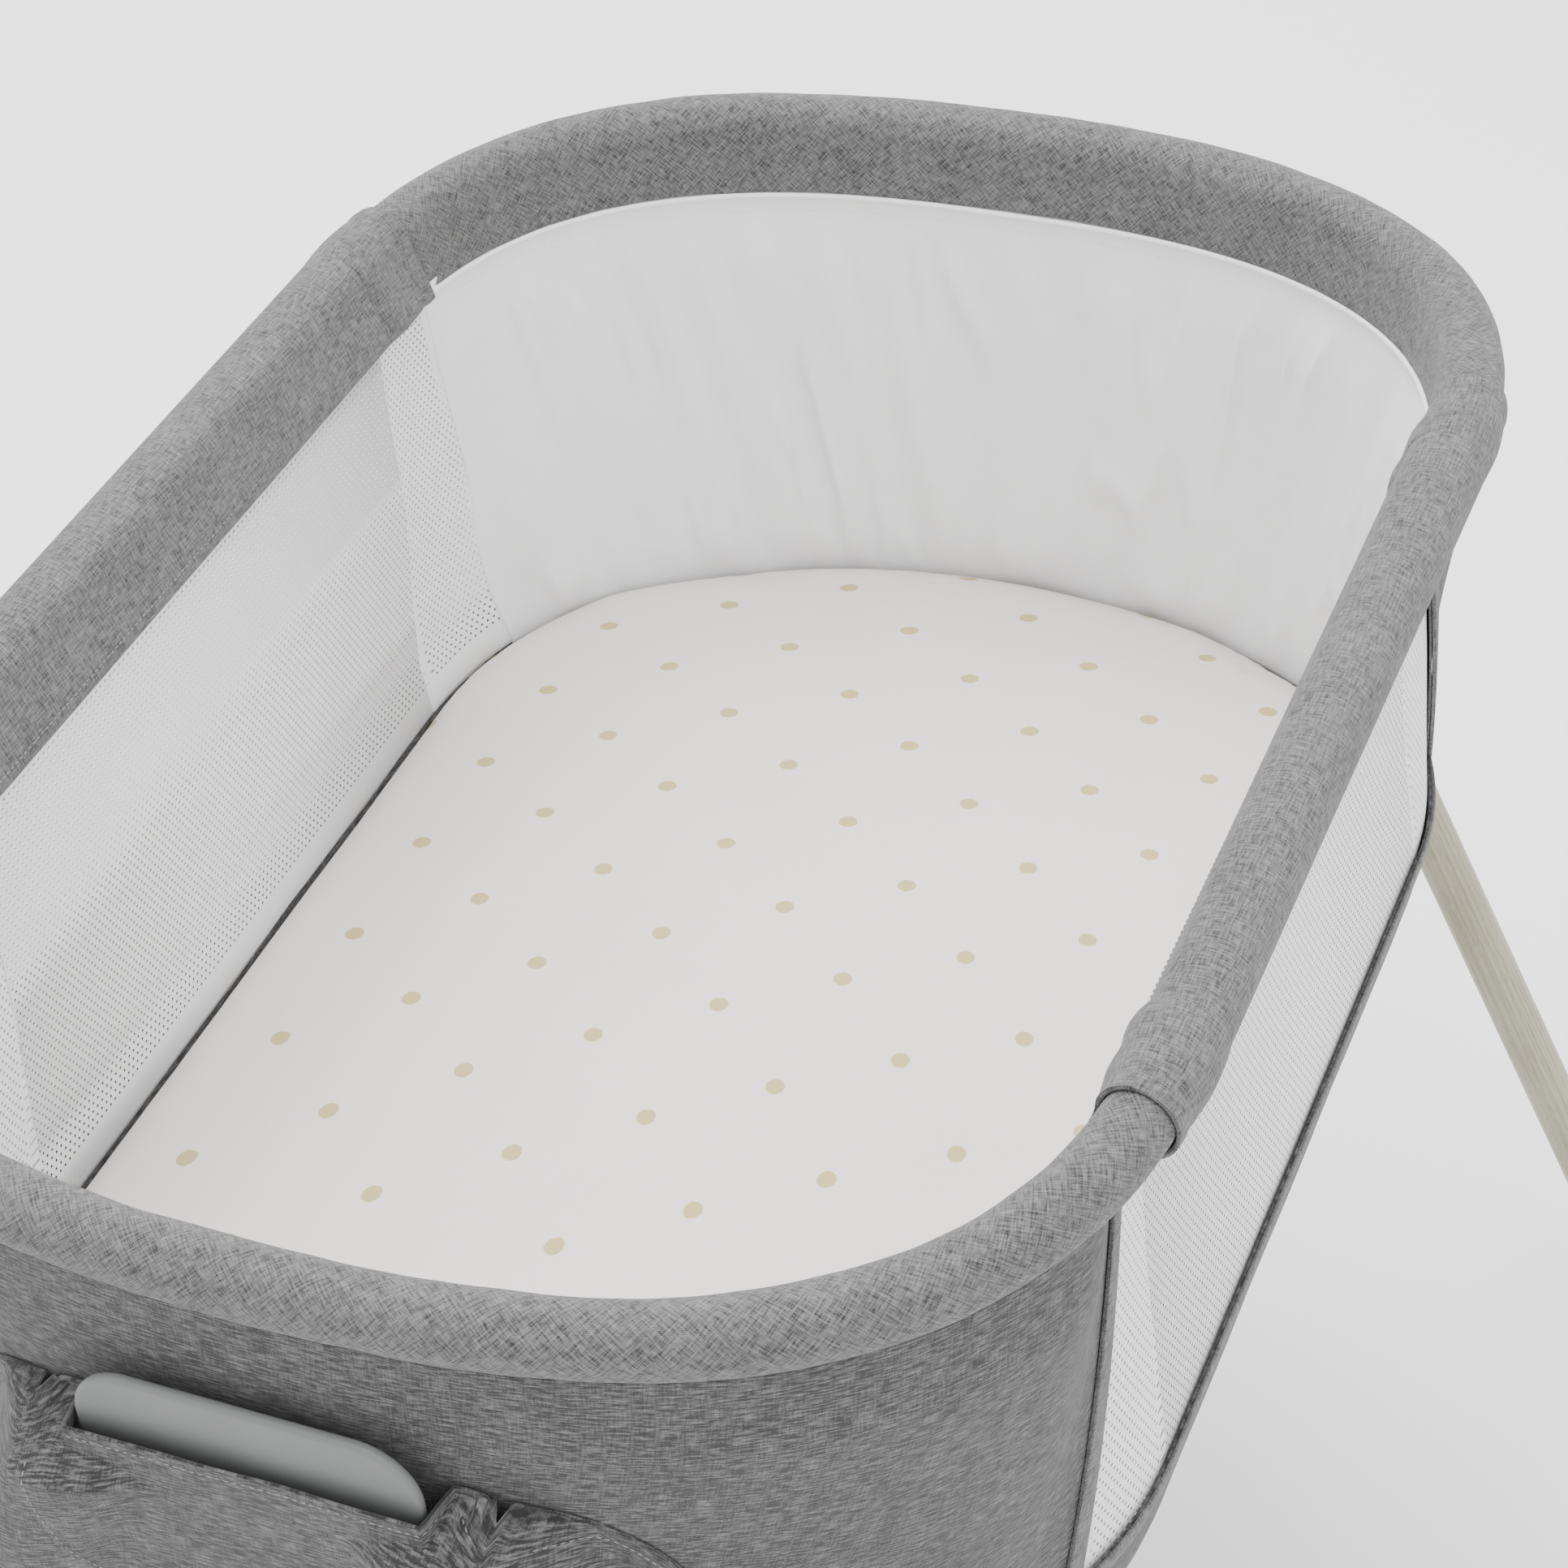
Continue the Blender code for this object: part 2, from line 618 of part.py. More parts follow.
def leg_set(end, word, materials):
    turn = None if end == FAR else Matrix.Rotation(pi, 4, "Z")
    members = []

    crown = finish(f"leg_crown_{word}", plate(crown_outline(), *WEB_V), "moulding", materials, turn,
                   smooth=False)
    ledge = [(0.3965, LEDGE_Z[0]), (0.4160, LEDGE_Z[0]), (0.4160, LEDGE_Z[1]), (0.3965, LEDGE_Z[1])]
    cut(crown, f"leg_crown_{word}_ledge", bar(ledge, -0.048, 0.048), turn, "UNION")
    sockets = [RIM_Z - depth for depth in SOCKET_DEPTHS]
    for side, tag in ((LEFT, "left"), (RIGHT, "right")):
        cut(crown, f"leg_crown_{word}_socket_{tag}",
            rod(leg_point(side, sockets[0]), leg_point(side, sockets[1]), SOCKET_R, LEG_SIDES), turn, "UNION")
        cut(crown, f"leg_crown_{word}_bore_{tag}",
            rod(leg_point(side, RIM_Z - LEG_TOP_DEPTH + 0.001), leg_point(side, sockets[1] - 0.02),
                SOCKET_BORE_R, LEG_SIDES), turn)
    slot = [(-0.0700, 0.617), (0.0700, 0.617), (0.0700, 0.670), (-0.0700, 0.670)]
    cut(crown, f"leg_crown_{word}_slot", plate(slot, HANDLE_V[0] - 0.0003, HANDLE_V[1] + 0.0003), turn)
    bolt_hole = turned([(0.405, BOLT_HOLE_R), (0.425, BOLT_HOLE_R)], (0.0, BOLT_Z))
    cut(crown, f"leg_crown_{word}_bolt_hole", bolt_hole, turn)
    members.append(crown)

    lean = atan(LEG_SLOPE)
    for side in (LEFT, RIGHT):
        # A half turn carries a far-end piece across to the other side of the near end.
        tag = "left" if side * end < 0 else "right"
        top, low = leg_point(side, RIM_Z - LEG_TOP_DEPTH), leg_point(side, LEG_FOOT_Z)
        tube = skin(rod_rings(top, low, LEG_R, LEG_SIDES), rod_rings(top, low, LEG_BORE_R, LEG_SIDES))
        members.append(finish(f"leg_tube_{word}_{tag}", tube, "leg", materials, turn))
        cap_mesh = rod(leg_point(side, FOOT_TOP_Z), leg_point(side, -0.02), FOOT_R, LEG_SIDES)
        bmesh.ops.bisect_plane(cap_mesh, geom=cap_mesh.verts[:] + cap_mesh.edges[:] + cap_mesh.faces[:],
                               plane_co=(0, 0, 0), plane_no=(0, 0, -1), clear_outer=True)
        bmesh.ops.holes_fill(cap_mesh, edges=cap_mesh.edges[:])
        cap = finish(f"foot_cap_{word}_{tag}", cap_mesh, "rubber", materials, turn)
        seat = leg_point(side, LEG_FOOT_Z) + GAP * Vector((side * sin(lean), 0, -cos(lean)))
        bore = rod(seat, leg_point(side, FOOT_TOP_Z + 0.03), LEG_R + GAP, LEG_SIDES)
        cut(cap, f"foot_cap_{word}_{tag}_bore", bore, turn)
        members.append(cap)

    handle = finish(f"release_handle_{word}", plate(handle_outline(), *HANDLE_V), "moulding", materials, turn)
    edge = handle.modifiers.new("Edge", "BEVEL")
    edge.width = 0.0018
    edge.segments = 1
    edge.limit_method = "ANGLE"
    edge.angle_limit = radians(60)
    bolt_profile = [(0.4015, BOLT_R * 0.7), (0.4025, BOLT_R), (0.4195, BOLT_R)]
    bolt = finish(f"latch_bolt_{word}", turned(bolt_profile, (0.0, BOLT_Z)), "steel", materials, turn)
    body(f"legs_{word}_axis", (0, end * LEG_V, LEDGE_Z[1]), members)
    body(f"handle_{word}_axis", (0, end * HANDLE_V[0], RIM_Z - HANDLE_TOP_DEPTH), [handle])
    body(f"bolt_{word}_axis", (0, end * WEB_V[0], BOLT_Z), [bolt])

    mount_foot = LEDGE_Z[1] + GAP
    block = [(0.3990, 0.505), (0.4115, 0.505), (0.4115, mount_foot), (0.3920, mount_foot), (0.3920, 0.466)]
    mount = finish(f"leg_mount_{word}", bar(block, -MOUNT_HALF_WIDTH, MOUNT_HALF_WIDTH), "nylon", materials,
                   turn, smooth=False)
    mount_hole = turned([(0.4005, BOLT_HOLE_R), (0.415, BOLT_HOLE_R)], (0.0, BOLT_Z))
    cut(mount, f"leg_mount_{word}_hole", mount_hole, turn)

    low, high = POCKET_Z
    rings = [pocket_ring(z) for z in (low, (low + high) / 2, high)]
    finish(f"leg_pocket_{word}", skin(rings), "melange", materials, turn)


# ---------------------------------------------------------------- the whole object


def main():
    clear_scene()
    materials = make_materials()
    make_base(materials)
    make_walls(materials)
    rim = make_rails(materials) + make_arcs(materials) + make_connectors(materials)
    for end, word in ((NEAR, "near"), (FAR, "far")):
        rim += linkage(end, word, materials)
        leg_set(end, word, materials)
    middle = (UPPER_V[0] + HANGER_V[1]) / 2
    body("rim_axis", (0, NEAR * middle, TOP_PIVOT_Z), rim)


main()
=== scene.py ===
"""The looks of an oval portable bassinet on two splayed leg sets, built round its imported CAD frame.

Metres, +Z up, the floor at z = 0, the long axis on Y. "far" is +Y, "near" is -Y, right is +X.
"""

import json
from math import cos, exp, pi, radians, sin
from typing import NamedTuple

import bmesh
import bpy
import numpy as np
from bpy.props import FloatProperty, FloatVectorProperty, PointerProperty
from mathutils import Matrix, Vector, noise
from mathutils.geometry import interpolate_bezier

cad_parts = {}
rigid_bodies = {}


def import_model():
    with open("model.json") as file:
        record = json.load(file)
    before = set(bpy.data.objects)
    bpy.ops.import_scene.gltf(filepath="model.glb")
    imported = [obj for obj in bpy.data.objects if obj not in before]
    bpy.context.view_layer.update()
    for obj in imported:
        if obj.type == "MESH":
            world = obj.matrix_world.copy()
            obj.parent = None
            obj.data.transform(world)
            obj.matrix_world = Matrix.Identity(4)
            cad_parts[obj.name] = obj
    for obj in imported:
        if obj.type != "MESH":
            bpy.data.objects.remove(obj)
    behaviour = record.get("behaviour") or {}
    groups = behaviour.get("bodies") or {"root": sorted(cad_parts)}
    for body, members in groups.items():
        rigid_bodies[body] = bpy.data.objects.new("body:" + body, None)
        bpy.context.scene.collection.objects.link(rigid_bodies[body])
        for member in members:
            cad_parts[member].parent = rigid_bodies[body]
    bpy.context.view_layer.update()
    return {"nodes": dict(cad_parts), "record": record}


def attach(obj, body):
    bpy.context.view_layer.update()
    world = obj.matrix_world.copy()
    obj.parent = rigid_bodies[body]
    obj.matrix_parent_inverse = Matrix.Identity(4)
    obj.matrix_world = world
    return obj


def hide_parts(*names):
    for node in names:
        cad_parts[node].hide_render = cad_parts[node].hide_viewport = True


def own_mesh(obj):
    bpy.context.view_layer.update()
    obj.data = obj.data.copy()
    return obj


for leftover in list(bpy.data.objects):
    bpy.data.objects.remove(leftover, do_unlink=True)
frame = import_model()

bl_info = {
    "name": "Oval bassinet looks",
    "version": (1, 0, 0),
    "blender": (4, 5, 0),
    "location": "View3D > Sidebar > Bassinet",
    "description": "Builds the cloth, mesh, mattress, legs and stage of an oval bassinet on its CAD frame",
    "category": "Object",
}


class Oval(NamedTuple):
    """Two straight sides on X, and two superellipse ends."""

    half_width: float
    straight: float
    depth: float
    power: float


FAR, NEAR = 1, -1
RIGHT, LEFT = 1, -1
ENDS = ((NEAR, "near"), (FAR, "far"))
SIDES = ((LEFT, "left"), (RIGHT, "right"))

# Rim, as the CAD frame has it
RIM_Z = 0.742
RIM = Oval(0.270, 0.3678, 0.2137, 2.506)
RAIL_HEM = (-0.0264, -0.0272)
ARC_HEM = (-0.0172, -0.0300)
CUFF_Y = 0.232
ARC_END_Y = 0.212

# Base
BASE_TOP_Z = 0.515

# Seams between the mesh and the end cloth: how far along Y, at the top and at the foot
INNER_SEAM = (0.2240, 0.2560)
OUTER_SEAM = (0.2080, 0.2620)

# Leg sets
LEG_V = 0.4210
LEG_TOP_X = 0.0372
LEG_SLOPE = 0.4338
FOOT_TOP_Z = 0.045
LEG_FOOT_Z = 0.012
POCKET_FOOT_Z = 0.545

# Where the walls are anchored, and the heights of the liner's and the mesh's top edges
WALL_ANCHOR, LINER_TOP, MESH_TOP = 0.4895, 0.7155, 0.7225


def base_oval(half_width, tip):
    straight = 0.3757
    return Oval(half_width, straight, tip - straight / 2, 2.09)


# ---------------------------------------------------------------- settings


class BassinetSizes(bpy.types.PropertyGroup):
    """Sizes that change the look and not the frame."""

    sleeve_radius: FloatProperty(
        name="Sleeve radius", description="Padded radius of the side sleeves", default=0.0163, unit="LENGTH")
    cover_radius: FloatProperty(
        name="End cover radius", description="Padded radius of the end covers", default=0.0140, unit="LENGTH")
    wrinkle: FloatProperty(
        name="Liner wrinkle", description="Depth of the folds in the end liners", default=0.0100,
        unit="LENGTH")
    stitch: FloatProperty(
        name="Stitch length", description="Length of one seam stitch", default=0.0026, unit="LENGTH")
    hole: FloatProperty(
        name="Mesh hole", description="Radius of one hole of the mesh", default=0.00070, unit="LENGTH")
    dot: FloatProperty(
        name="Dot radius", description="Radius of a printed dot", default=0.0045, unit="LENGTH")
    leg_radius: FloatProperty(
        name="Leg radius", description="Outer radius of a leg", default=0.0130, unit="LENGTH")


def linear(hex_colour):
    """An sRGB hex colour as linear RGB."""
    values = [int(hex_colour[i : i + 2], 16) / 255 for i in (0, 2, 4)]
    return [v / 12.92 if v <= 0.04045 else ((v + 0.055) / 1.055) ** 2.4 for v in values]


def colour(name, description, hex_colour):
    return FloatVectorProperty(
        name=name, description=description, default=linear(hex_colour), size=3, min=0, max=1, subtype="COLOR")


class BassinetColours(bpy.types.PropertyGroup):
    """Colours of the cloth, mouldings and legs."""

    yarn_light: colour("Light yarn", "Pale fibres of the melange cloth", "767676")
    yarn_dark: colour("Dark yarn", "Dark fibres of the melange cloth", "252526")
    mesh: colour("Mesh", "White mesh of the long sides", "F4F4F4")
    liner: colour("Liner", "Coated cloth inside the ends", "EFEFEF")
    sheet: colour("Sheet", "Ground of the fitted sheet", "DAD5D3")
    dots: colour("Dots", "Printed dots of the sheet", "B5A777")
    moulding: colour("Moulding", "Release handles and crowns", "6A6B6B")
    wood: colour("Wood", "Pale ground of the legs", "A5A18C")
    grain: colour("Grain", "Grain lines of the legs", "837D66")


# ---------------------------------------------------------------- outlines


def oval_at(oval, end, side, share):
    """A point of the oval and its outward normal, at a share of the end's depth."""
    across = max(1 - share**oval.power, 0.0) ** (1 / oval.power)
    point = Vector((side * oval.half_width * across, end * (oval.straight / 2 + oval.depth * share)))
    normal = Vector((
        side * across ** (oval.power - 1) / oval.half_width,
        end * share ** (oval.power - 1) / oval.depth,
    ))
    return point, normal.normalized()


def side_at(oval, side, y):
    """The oval's side at y, which may lie on a straight or on the start of an end."""
    share = max(abs(y) - oval.straight / 2, 0.0) / oval.depth
    return oval_at(oval, FAR if y > 0 else NEAR, side, share)


def end_at(oval, end, angle):
    """The oval's end at an angle that runs from 0 on the right to pi on the left."""
    return oval_at(oval, end, RIGHT if angle <= pi / 2 else LEFT, min(max(sin(angle), 0.0), 1.0))


def first_angle(oval, y):
    """The angle at which the oval's end has come to y."""
    return float(np.arcsin(max(abs(y) - oval.straight / 2, 0.0) / oval.depth))


def even_angles(oval, first, count):
    """Angles round an end whose points are evenly spaced, and the length they span."""
    dense = np.linspace(first, pi - first, 801)
    points = np.array([end_at(oval, FAR, a)[0] for a in dense])
    run = np.concatenate(([0.0], np.cumsum(np.linalg.norm(np.diff(points, axis=0), axis=1))))
    return np.interp(np.linspace(0, run[-1], count), run, dense), float(run[-1])


def oval_v(oval, x):
    """How far along Y the oval's end reaches at x."""
    share = min(abs(x) / oval.half_width, 1)
    return oval.straight / 2 + oval.depth * (1 - share**oval.power) ** (1 / oval.power)


def leg_x(z):
    return LEG_TOP_X + LEG_SLOPE * (RIM_Z - z)


def smooth(low, high, value):
    share = min(max((value - low) / (high - low), 0.0), 1.0)
    return share * share * (3 - 2 * share)


def bump(centre, width, value):
    return exp(-(((value - centre) / width) ** 2))


def ripple(x, y, seed):
    return noise.noise(Vector((x, y, seed)))


# ---------------------------------------------------------------- making pieces


def distances(points):
    """Distance from the first point to each one, along them."""
    steps = np.linalg.norm(np.diff(np.array([tuple(p) for p in points], float), axis=0), axis=1)
    return [0.0, *np.cumsum(steps).tolist()]


def loft(rows, row_at, column_at, ring):
    """A bmesh that extrudes the first row of points through the others, with its grain on a UV map.

    row_at and column_at are the distances of each row and column; a ring has one column more there.
    """
    work = bmesh.new()
    grain = work.loops.layers.uv.new("Grain")
    row_layer = work.verts.layers.int.new("row")
    column_layer = work.verts.layers.int.new("column")
    line = [work.verts.new(point) for point in rows[0]]
    for j, vert in enumerate(line):
        vert[column_layer] = j
    edges = [work.edges.new(pair) for pair in zip(line, line[1:])]
    if ring:
        edges.append(work.edges.new((line[-1], line[0])))
    for k, row in enumerate(rows[1:], 1):
        grown = bmesh.ops.extrude_edge_only(work, edges=edges)["geom"]
        edges = [item for item in grown if isinstance(item, bmesh.types.BMEdge)]
        for vert in (item for item in grown if isinstance(item, bmesh.types.BMVert)):
            vert[row_layer] = k
            vert.co = row[vert[column_layer]]
        edges = [e for e in edges if all(v[row_layer] == k for v in e.verts)]
    last = len(rows[0])
    for face in work.faces:
        columns = [loop.vert[column_layer] for loop in face.loops]
        wraps = ring and max(columns) - min(columns) > 1
        for loop, j in zip(face.loops, columns):
            loop[grain].uv = (column_at[last if wraps and j == 0 else j], row_at[loop.vert[row_layer]])
    return work


def close_ends(work):
    bmesh.ops.holes_fill(work, edges=[e for e in work.edges if e.is_boundary], sides=0)


def finish(name, work, material, body, replaces=(), recalc=True, sharp=40):
    """Turns a bmesh into a named piece that rides on a body."""
    if recalc:
        bmesh.ops.recalc_face_normals(work, faces=work.faces)
    mesh = bpy.data.meshes.new(name)
    work.to_mesh(mesh)
    work.free()
    mesh.materials.append(material)
    mesh.shade_smooth()
    mesh.set_sharp_from_angle(angle=radians(sharp))
    piece = bpy.data.objects.new(name, mesh)
    bpy.context.scene.collection.objects.link(piece)
    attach(piece, body)
    if replaces:
        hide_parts(*replaces)
    return piece


def thicken(piece, wall, offset=-1.0):
    step = piece.modifiers.new("Wall", "SOLIDIFY")
    step.thickness = wall
    step.offset = offset


def fold_with_walls(piece):
    """Gives the piece its own copy of its mesh."""
    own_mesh(piece)


def outward(work, away):
    """Turns an open sheet so that its faces look away from a point or line given by a function."""
    bmesh.ops.recalc_face_normals(work, faces=work.faces)
    work.normal_update()
    votes = sum(face.normal.dot(away(face.calc_center_median())) for face in work.faces)
    if votes < 0:
        bmesh.ops.reverse_faces(work, faces=work.faces)


def from_middle(point):
    """Straight out from the long axis of the bassinet."""
    return Vector((point.x, point.y - max(min(point.y, 0.18), -0.18), 0))


def grid(point, rows, columns):
    """A bmesh through point(t, c), with t and c from 0 to 1, whose UV map is in metres."""
    lines = [[point(k / (rows - 1), j / (columns - 1)) for j in range(columns)] for k in range(rows)]
    across = distances(lines[rows // 2])
    up = distances([line[columns // 2] for line in lines])
    return loft(lines, up, across, ring=False)


def sweep(path, section, swell):
    """A bmesh tube round a path of (point, normal, distance), with a closed section of (offset, height).

    swell(distance, column) moves the skin out along the section's own normal.
    """
    loop = [Vector(p) for p in section]
    count = len(loop)
    normals = []
    for j in range(count):
        along = loop[(j + 1) % count] - loop[j - 1]
        normals.append(Vector((along.y, -along.x)).normalized())
    rows = []
    for point, normal, at in path:
        row = []
        for j in range(count):
            moved = loop[j] + normals[j] * swell(at, j)
            place = point + normal * moved.x
            row.append((place.x, place.y, RIM_Z + moved.y))
        rows.append(row)
    return loft(rows, [at for _, _, at in path], distances([*loop, loop[0]]), ring=True)


def stitches(name, points, normals, material, body, length, radius=0.00032, pitch=0.0034):
    """Short thread stitches laid end to end along a line of points."""
    run = distances(points)
    spots = np.arange(pitch / 2, run[-1], pitch)
    line = np.array([tuple(p) for p in points])
    out = np.array([tuple(n) for n in normals])
    at = lambda source, d: Vector([float(np.interp(d, run, source[:, i])) for i in range(3)])
    work = bmesh.new()
    work.loops.layers.uv.new("Grain")
    for spot in spots:
        middle, up = at(line, spot), at(out, spot).normalized()
        along = (at(line, min(spot + 0.001, run[-1])) - at(line, max(spot - 0.001, 0))).normalized()
        side = along.cross(up).normalized()
        turn = Matrix((along, side, up)).transposed().to_4x4()
        size = Matrix.Diagonal((length / 2, radius, radius, 1))
        bmesh.ops.create_icosphere(
            work, subdivisions=1, radius=1, matrix=Matrix.Translation(middle) @ turn @ size)
    return finish(name, work, material, body, sharp=180)


# ---------------------------------------------------------------- materials


def add(tree, kind, inputs=None, **settings):
    """Adds a node with its settings, and links or sets its inputs."""
    made = tree.nodes.new(kind)
    for name, value in settings.items():
        setattr(made, name, value)
    for name, value in (inputs or {}).items():
        if isinstance(value, bpy.types.NodeSocket):
            tree.links.new(value, made.inputs[name])
        else:
            made.inputs[name].default_value = value
    return made


def start_material(name, roughness, **shader_inputs):
    made = bpy.data.materials.new(name)
    made.use_nodes = True
    shader = made.node_tree.nodes["Principled BSDF"]
    shader.inputs["Roughness"].default_value = roughness
    for key, value in shader_inputs.items():
        shader.inputs[key.replace("_", " ")].default_value = value
    return made, made.node_tree, shader


def rgba(values):
    return (*values, 1.0)


def melange(name, turn=0.0, warp_share=0.5, darker=0.0):
    """Plain-woven melange polyester: pale and dark fibres spun into each yarn, which show as short
    streaks along both thread directions. Turn is the angle of the cut, warp_share how far one direction
    leads, and darker the share of dark fibre that is added."""
    colours = bpy.context.scene.bassinet_colours
    made, tree, shader = start_material(name, 0.92, Sheen_Weight=0.15, Sheen_Roughness=0.5)
    place = add(tree, "ShaderNodeUVMap", uv_map="Grain")
    cut = add(tree, "ShaderNodeMapping", {"Vector": place.outputs[0], "Rotation": (0, 0, turn)})
    heights = []
    # A fibre streak is 8 mm long and, drawn coarse enough to show, 0.8 mm wide.
    for scale in ((125.0, 1250.0, 1.0), (1250.0, 125.0, 1.0)):
        run = add(tree, "ShaderNodeVectorMath", {0: cut.outputs[0], 1: scale}, operation="MULTIPLY")
        streak = add(tree, "ShaderNodeTexNoise",
                     {"Vector": run.outputs[0], "Scale": 1.0, "Detail": 3.0, "Roughness": 0.7},
                     noise_dimensions="2D")
        heights.append(streak.outputs[0])
    both = add(tree, "ShaderNodeMix", {0: warp_share, 2: heights[1], 3: heights[0]}, data_type="FLOAT")
    # Cloudy change of tone over 30 mm, from uneven spinning.
    cloud = add(tree, "ShaderNodeTexNoise", {"Vector": cut.outputs[0], "Scale": 33.0, "Detail": 2.0},
                noise_dimensions="2D")
    tone = add(tree, "ShaderNodeMath", {0: cloud.outputs[0], 1: 0.08, 2: both.outputs[0]},
               operation="MULTIPLY_ADD")
    spread = add(tree, "ShaderNodeMapRange",
                 {"Value": tone.outputs[0], "From Min": 0.40 + darker, "From Max": 0.67 + darker})
    mixed = add(tree, "ShaderNodeMix",
                {0: spread.outputs[0], 6: rgba(colours.yarn_dark), 7: rgba(colours.yarn_light)},
                data_type="RGBA")
    tree.links.new(mixed.outputs[2], shader.inputs["Base Color"])
    # The weave itself: threads 1.0 mm apart.
    weave = add(tree, "ShaderNodeVectorMath", {0: cut.outputs[0], 1: (6283.0, 6283.0, 0.0)},
                operation="MULTIPLY")
    wave = add(tree, "ShaderNodeVectorMath", {0: weave.outputs[0]}, operation="SINE")
    parts = add(tree, "ShaderNodeSeparateXYZ", {0: wave.outputs[0]})
    crossing = add(tree, "ShaderNodeMath", {0: parts.outputs[0], 1: parts.outputs[1]}, operation="MULTIPLY")
    height = add(tree, "ShaderNodeMath", {0: crossing.outputs[0], 1: 0.25, 2: both.outputs[0]},
                 operation="MULTIPLY_ADD")
    relief = add(tree, "ShaderNodeBump",
                 {"Height": height.outputs[0], "Strength": 0.6, "Distance": 0.0007})
    tree.links.new(relief.outputs[0], shader.inputs["Normal"])
    return made


def mesh_material():
    """Knitted polyester spacer mesh: staggered rows of small open holes, 4 mm apart, in a fine-ribbed
    ground. The lowest 12 mm is a plain woven hem."""
    scene = bpy.context.scene
    made, tree, shader = start_material("White polyester spacer mesh, knitted", 0.75)
    place = add(tree, "ShaderNodeUVMap", uv_map="Grain")
    pitch = (0.0040, 0.0066)
    nearest = []
    for shift in (0.0, 0.5):
        cell = add(tree, "ShaderNodeVectorMath",
                   {0: place.outputs[0], 1: (1 / pitch[0], 1 / pitch[1], 0), 2: (shift, shift, 0)},
                   operation="MULTIPLY_ADD")
        part = add(tree, "ShaderNodeVectorMath", {0: cell.outputs[0]}, operation="FRACTION")
        centred = add(tree, "ShaderNodeVectorMath",
                      {0: part.outputs[0], 1: (*pitch, 0), 2: (-pitch[0] / 2, -pitch[1] / 2, 0)},
                      operation="MULTIPLY_ADD")
        apart = add(tree, "ShaderNodeVectorMath", {0: centred.outputs[0]}, operation="LENGTH")
        nearest.append(apart.outputs["Value"])
    closest = add(tree, "ShaderNodeMath", {0: nearest[0], 1: nearest[1]}, operation="MINIMUM")
    hole = scene.bassinet_sizes.hole
    ground = add(tree, "ShaderNodeMapRange",
                 {"Value": closest.outputs[0], "From Min": hole * 0.85, "From Max": hole * 1.15},
                 interpolation_type="SMOOTHSTEP")
    parts = add(tree, "ShaderNodeSeparateXYZ", {0: place.outputs[0]})
    hem = add(tree, "ShaderNodeMath", {0: parts.outputs[1], 1: 0.0185}, operation="LESS_THAN")
    solid = add(tree, "ShaderNodeMath", {0: ground.outputs[0], 1: hem.outputs[0]}, operation="MAXIMUM")
    tree.links.new(solid.outputs[0], shader.inputs["Alpha"])
    # Knitted ribs, 1.1 mm apart, that run along the wall: a bump, and painted shade that darkens the colour
    # between them by up to a tenth.
    rib = add(tree, "ShaderNodeMath", {0: parts.outputs[1], 1: 5712.0}, operation="MULTIPLY")
    wave = add(tree, "ShaderNodeMath", {0: rib.outputs[0]}, operation="SINE")
    rib_painted_shade = add(tree, "ShaderNodeMapRange",
                {"Value": wave.outputs[0], "From Min": -1.0, "From Max": 1.0, "To Min": 0.90, "To Max": 1.0})
    tint = add(tree, "ShaderNodeVectorMath",
               # The mesh's white, with painted shade between the ribs.
               {0: scene.bassinet_colours.mesh, "Scale": rib_painted_shade.outputs[0]}, operation="SCALE")
    tree.links.new(tint.outputs[0], shader.inputs["Base Color"])
    height = add(tree, "ShaderNodeMath", {0: wave.outputs[0], 1: 0.3, 2: ground.outputs[0]},
                 operation="MULTIPLY_ADD")
    relief = add(tree, "ShaderNodeBump", {"Height": height.outputs[0], "Strength": 0.5, "Distance": 0.0004})
    tree.links.new(relief.outputs[0], shader.inputs["Normal"])
    return made


def liner_material():
    """Smooth white coated polyester: a faint, fine weave under a soft satin coat."""
    made, tree, shader = start_material("White polyester, coated", 0.5, Coat_Weight=0.08, Coat_Roughness=0.45)
    place = add(tree, "ShaderNodeUVMap", uv_map="Grain")
    # Uneven coat, in patches about 15 mm across.
    patch = add(tree, "ShaderNodeTexNoise", {"Vector": place.outputs[0], "Scale": 65.0, "Detail": 4.0},
                noise_dimensions="2D")
    tone = add(tree, "ShaderNodeMapRange",
               {"Value": patch.outputs[0], "From Min": 0.3, "From Max": 0.7, "To Min": 0.965, "To Max": 1.0})
    tint = add(tree, "ShaderNodeVectorMath",
               {0: bpy.context.scene.bassinet_colours.liner, "Scale": tone.outputs[0]}, operation="SCALE")
    tree.links.new(tint.outputs[0], shader.inputs["Base Color"])
    gloss = add(tree, "ShaderNodeMapRange",
                {"Value": patch.outputs[0], "From Min": 0.3, "From Max": 0.7, "To Min": 0.42, "To Max": 0.56})
    tree.links.new(gloss.outputs[0], shader.inputs["Roughness"])
    fine = add(tree, "ShaderNodeTexNoise", {"Vector": place.outputs[0], "Scale": 900.0, "Detail": 2.0},
               noise_dimensions="2D")
    relief = add(tree, "ShaderNodeBump", {"Height": fine.outputs[0], "Strength": 0.15, "Distance": 0.0002})
    tree.links.new(relief.outputs[0], shader.inputs["Normal"])
    return made


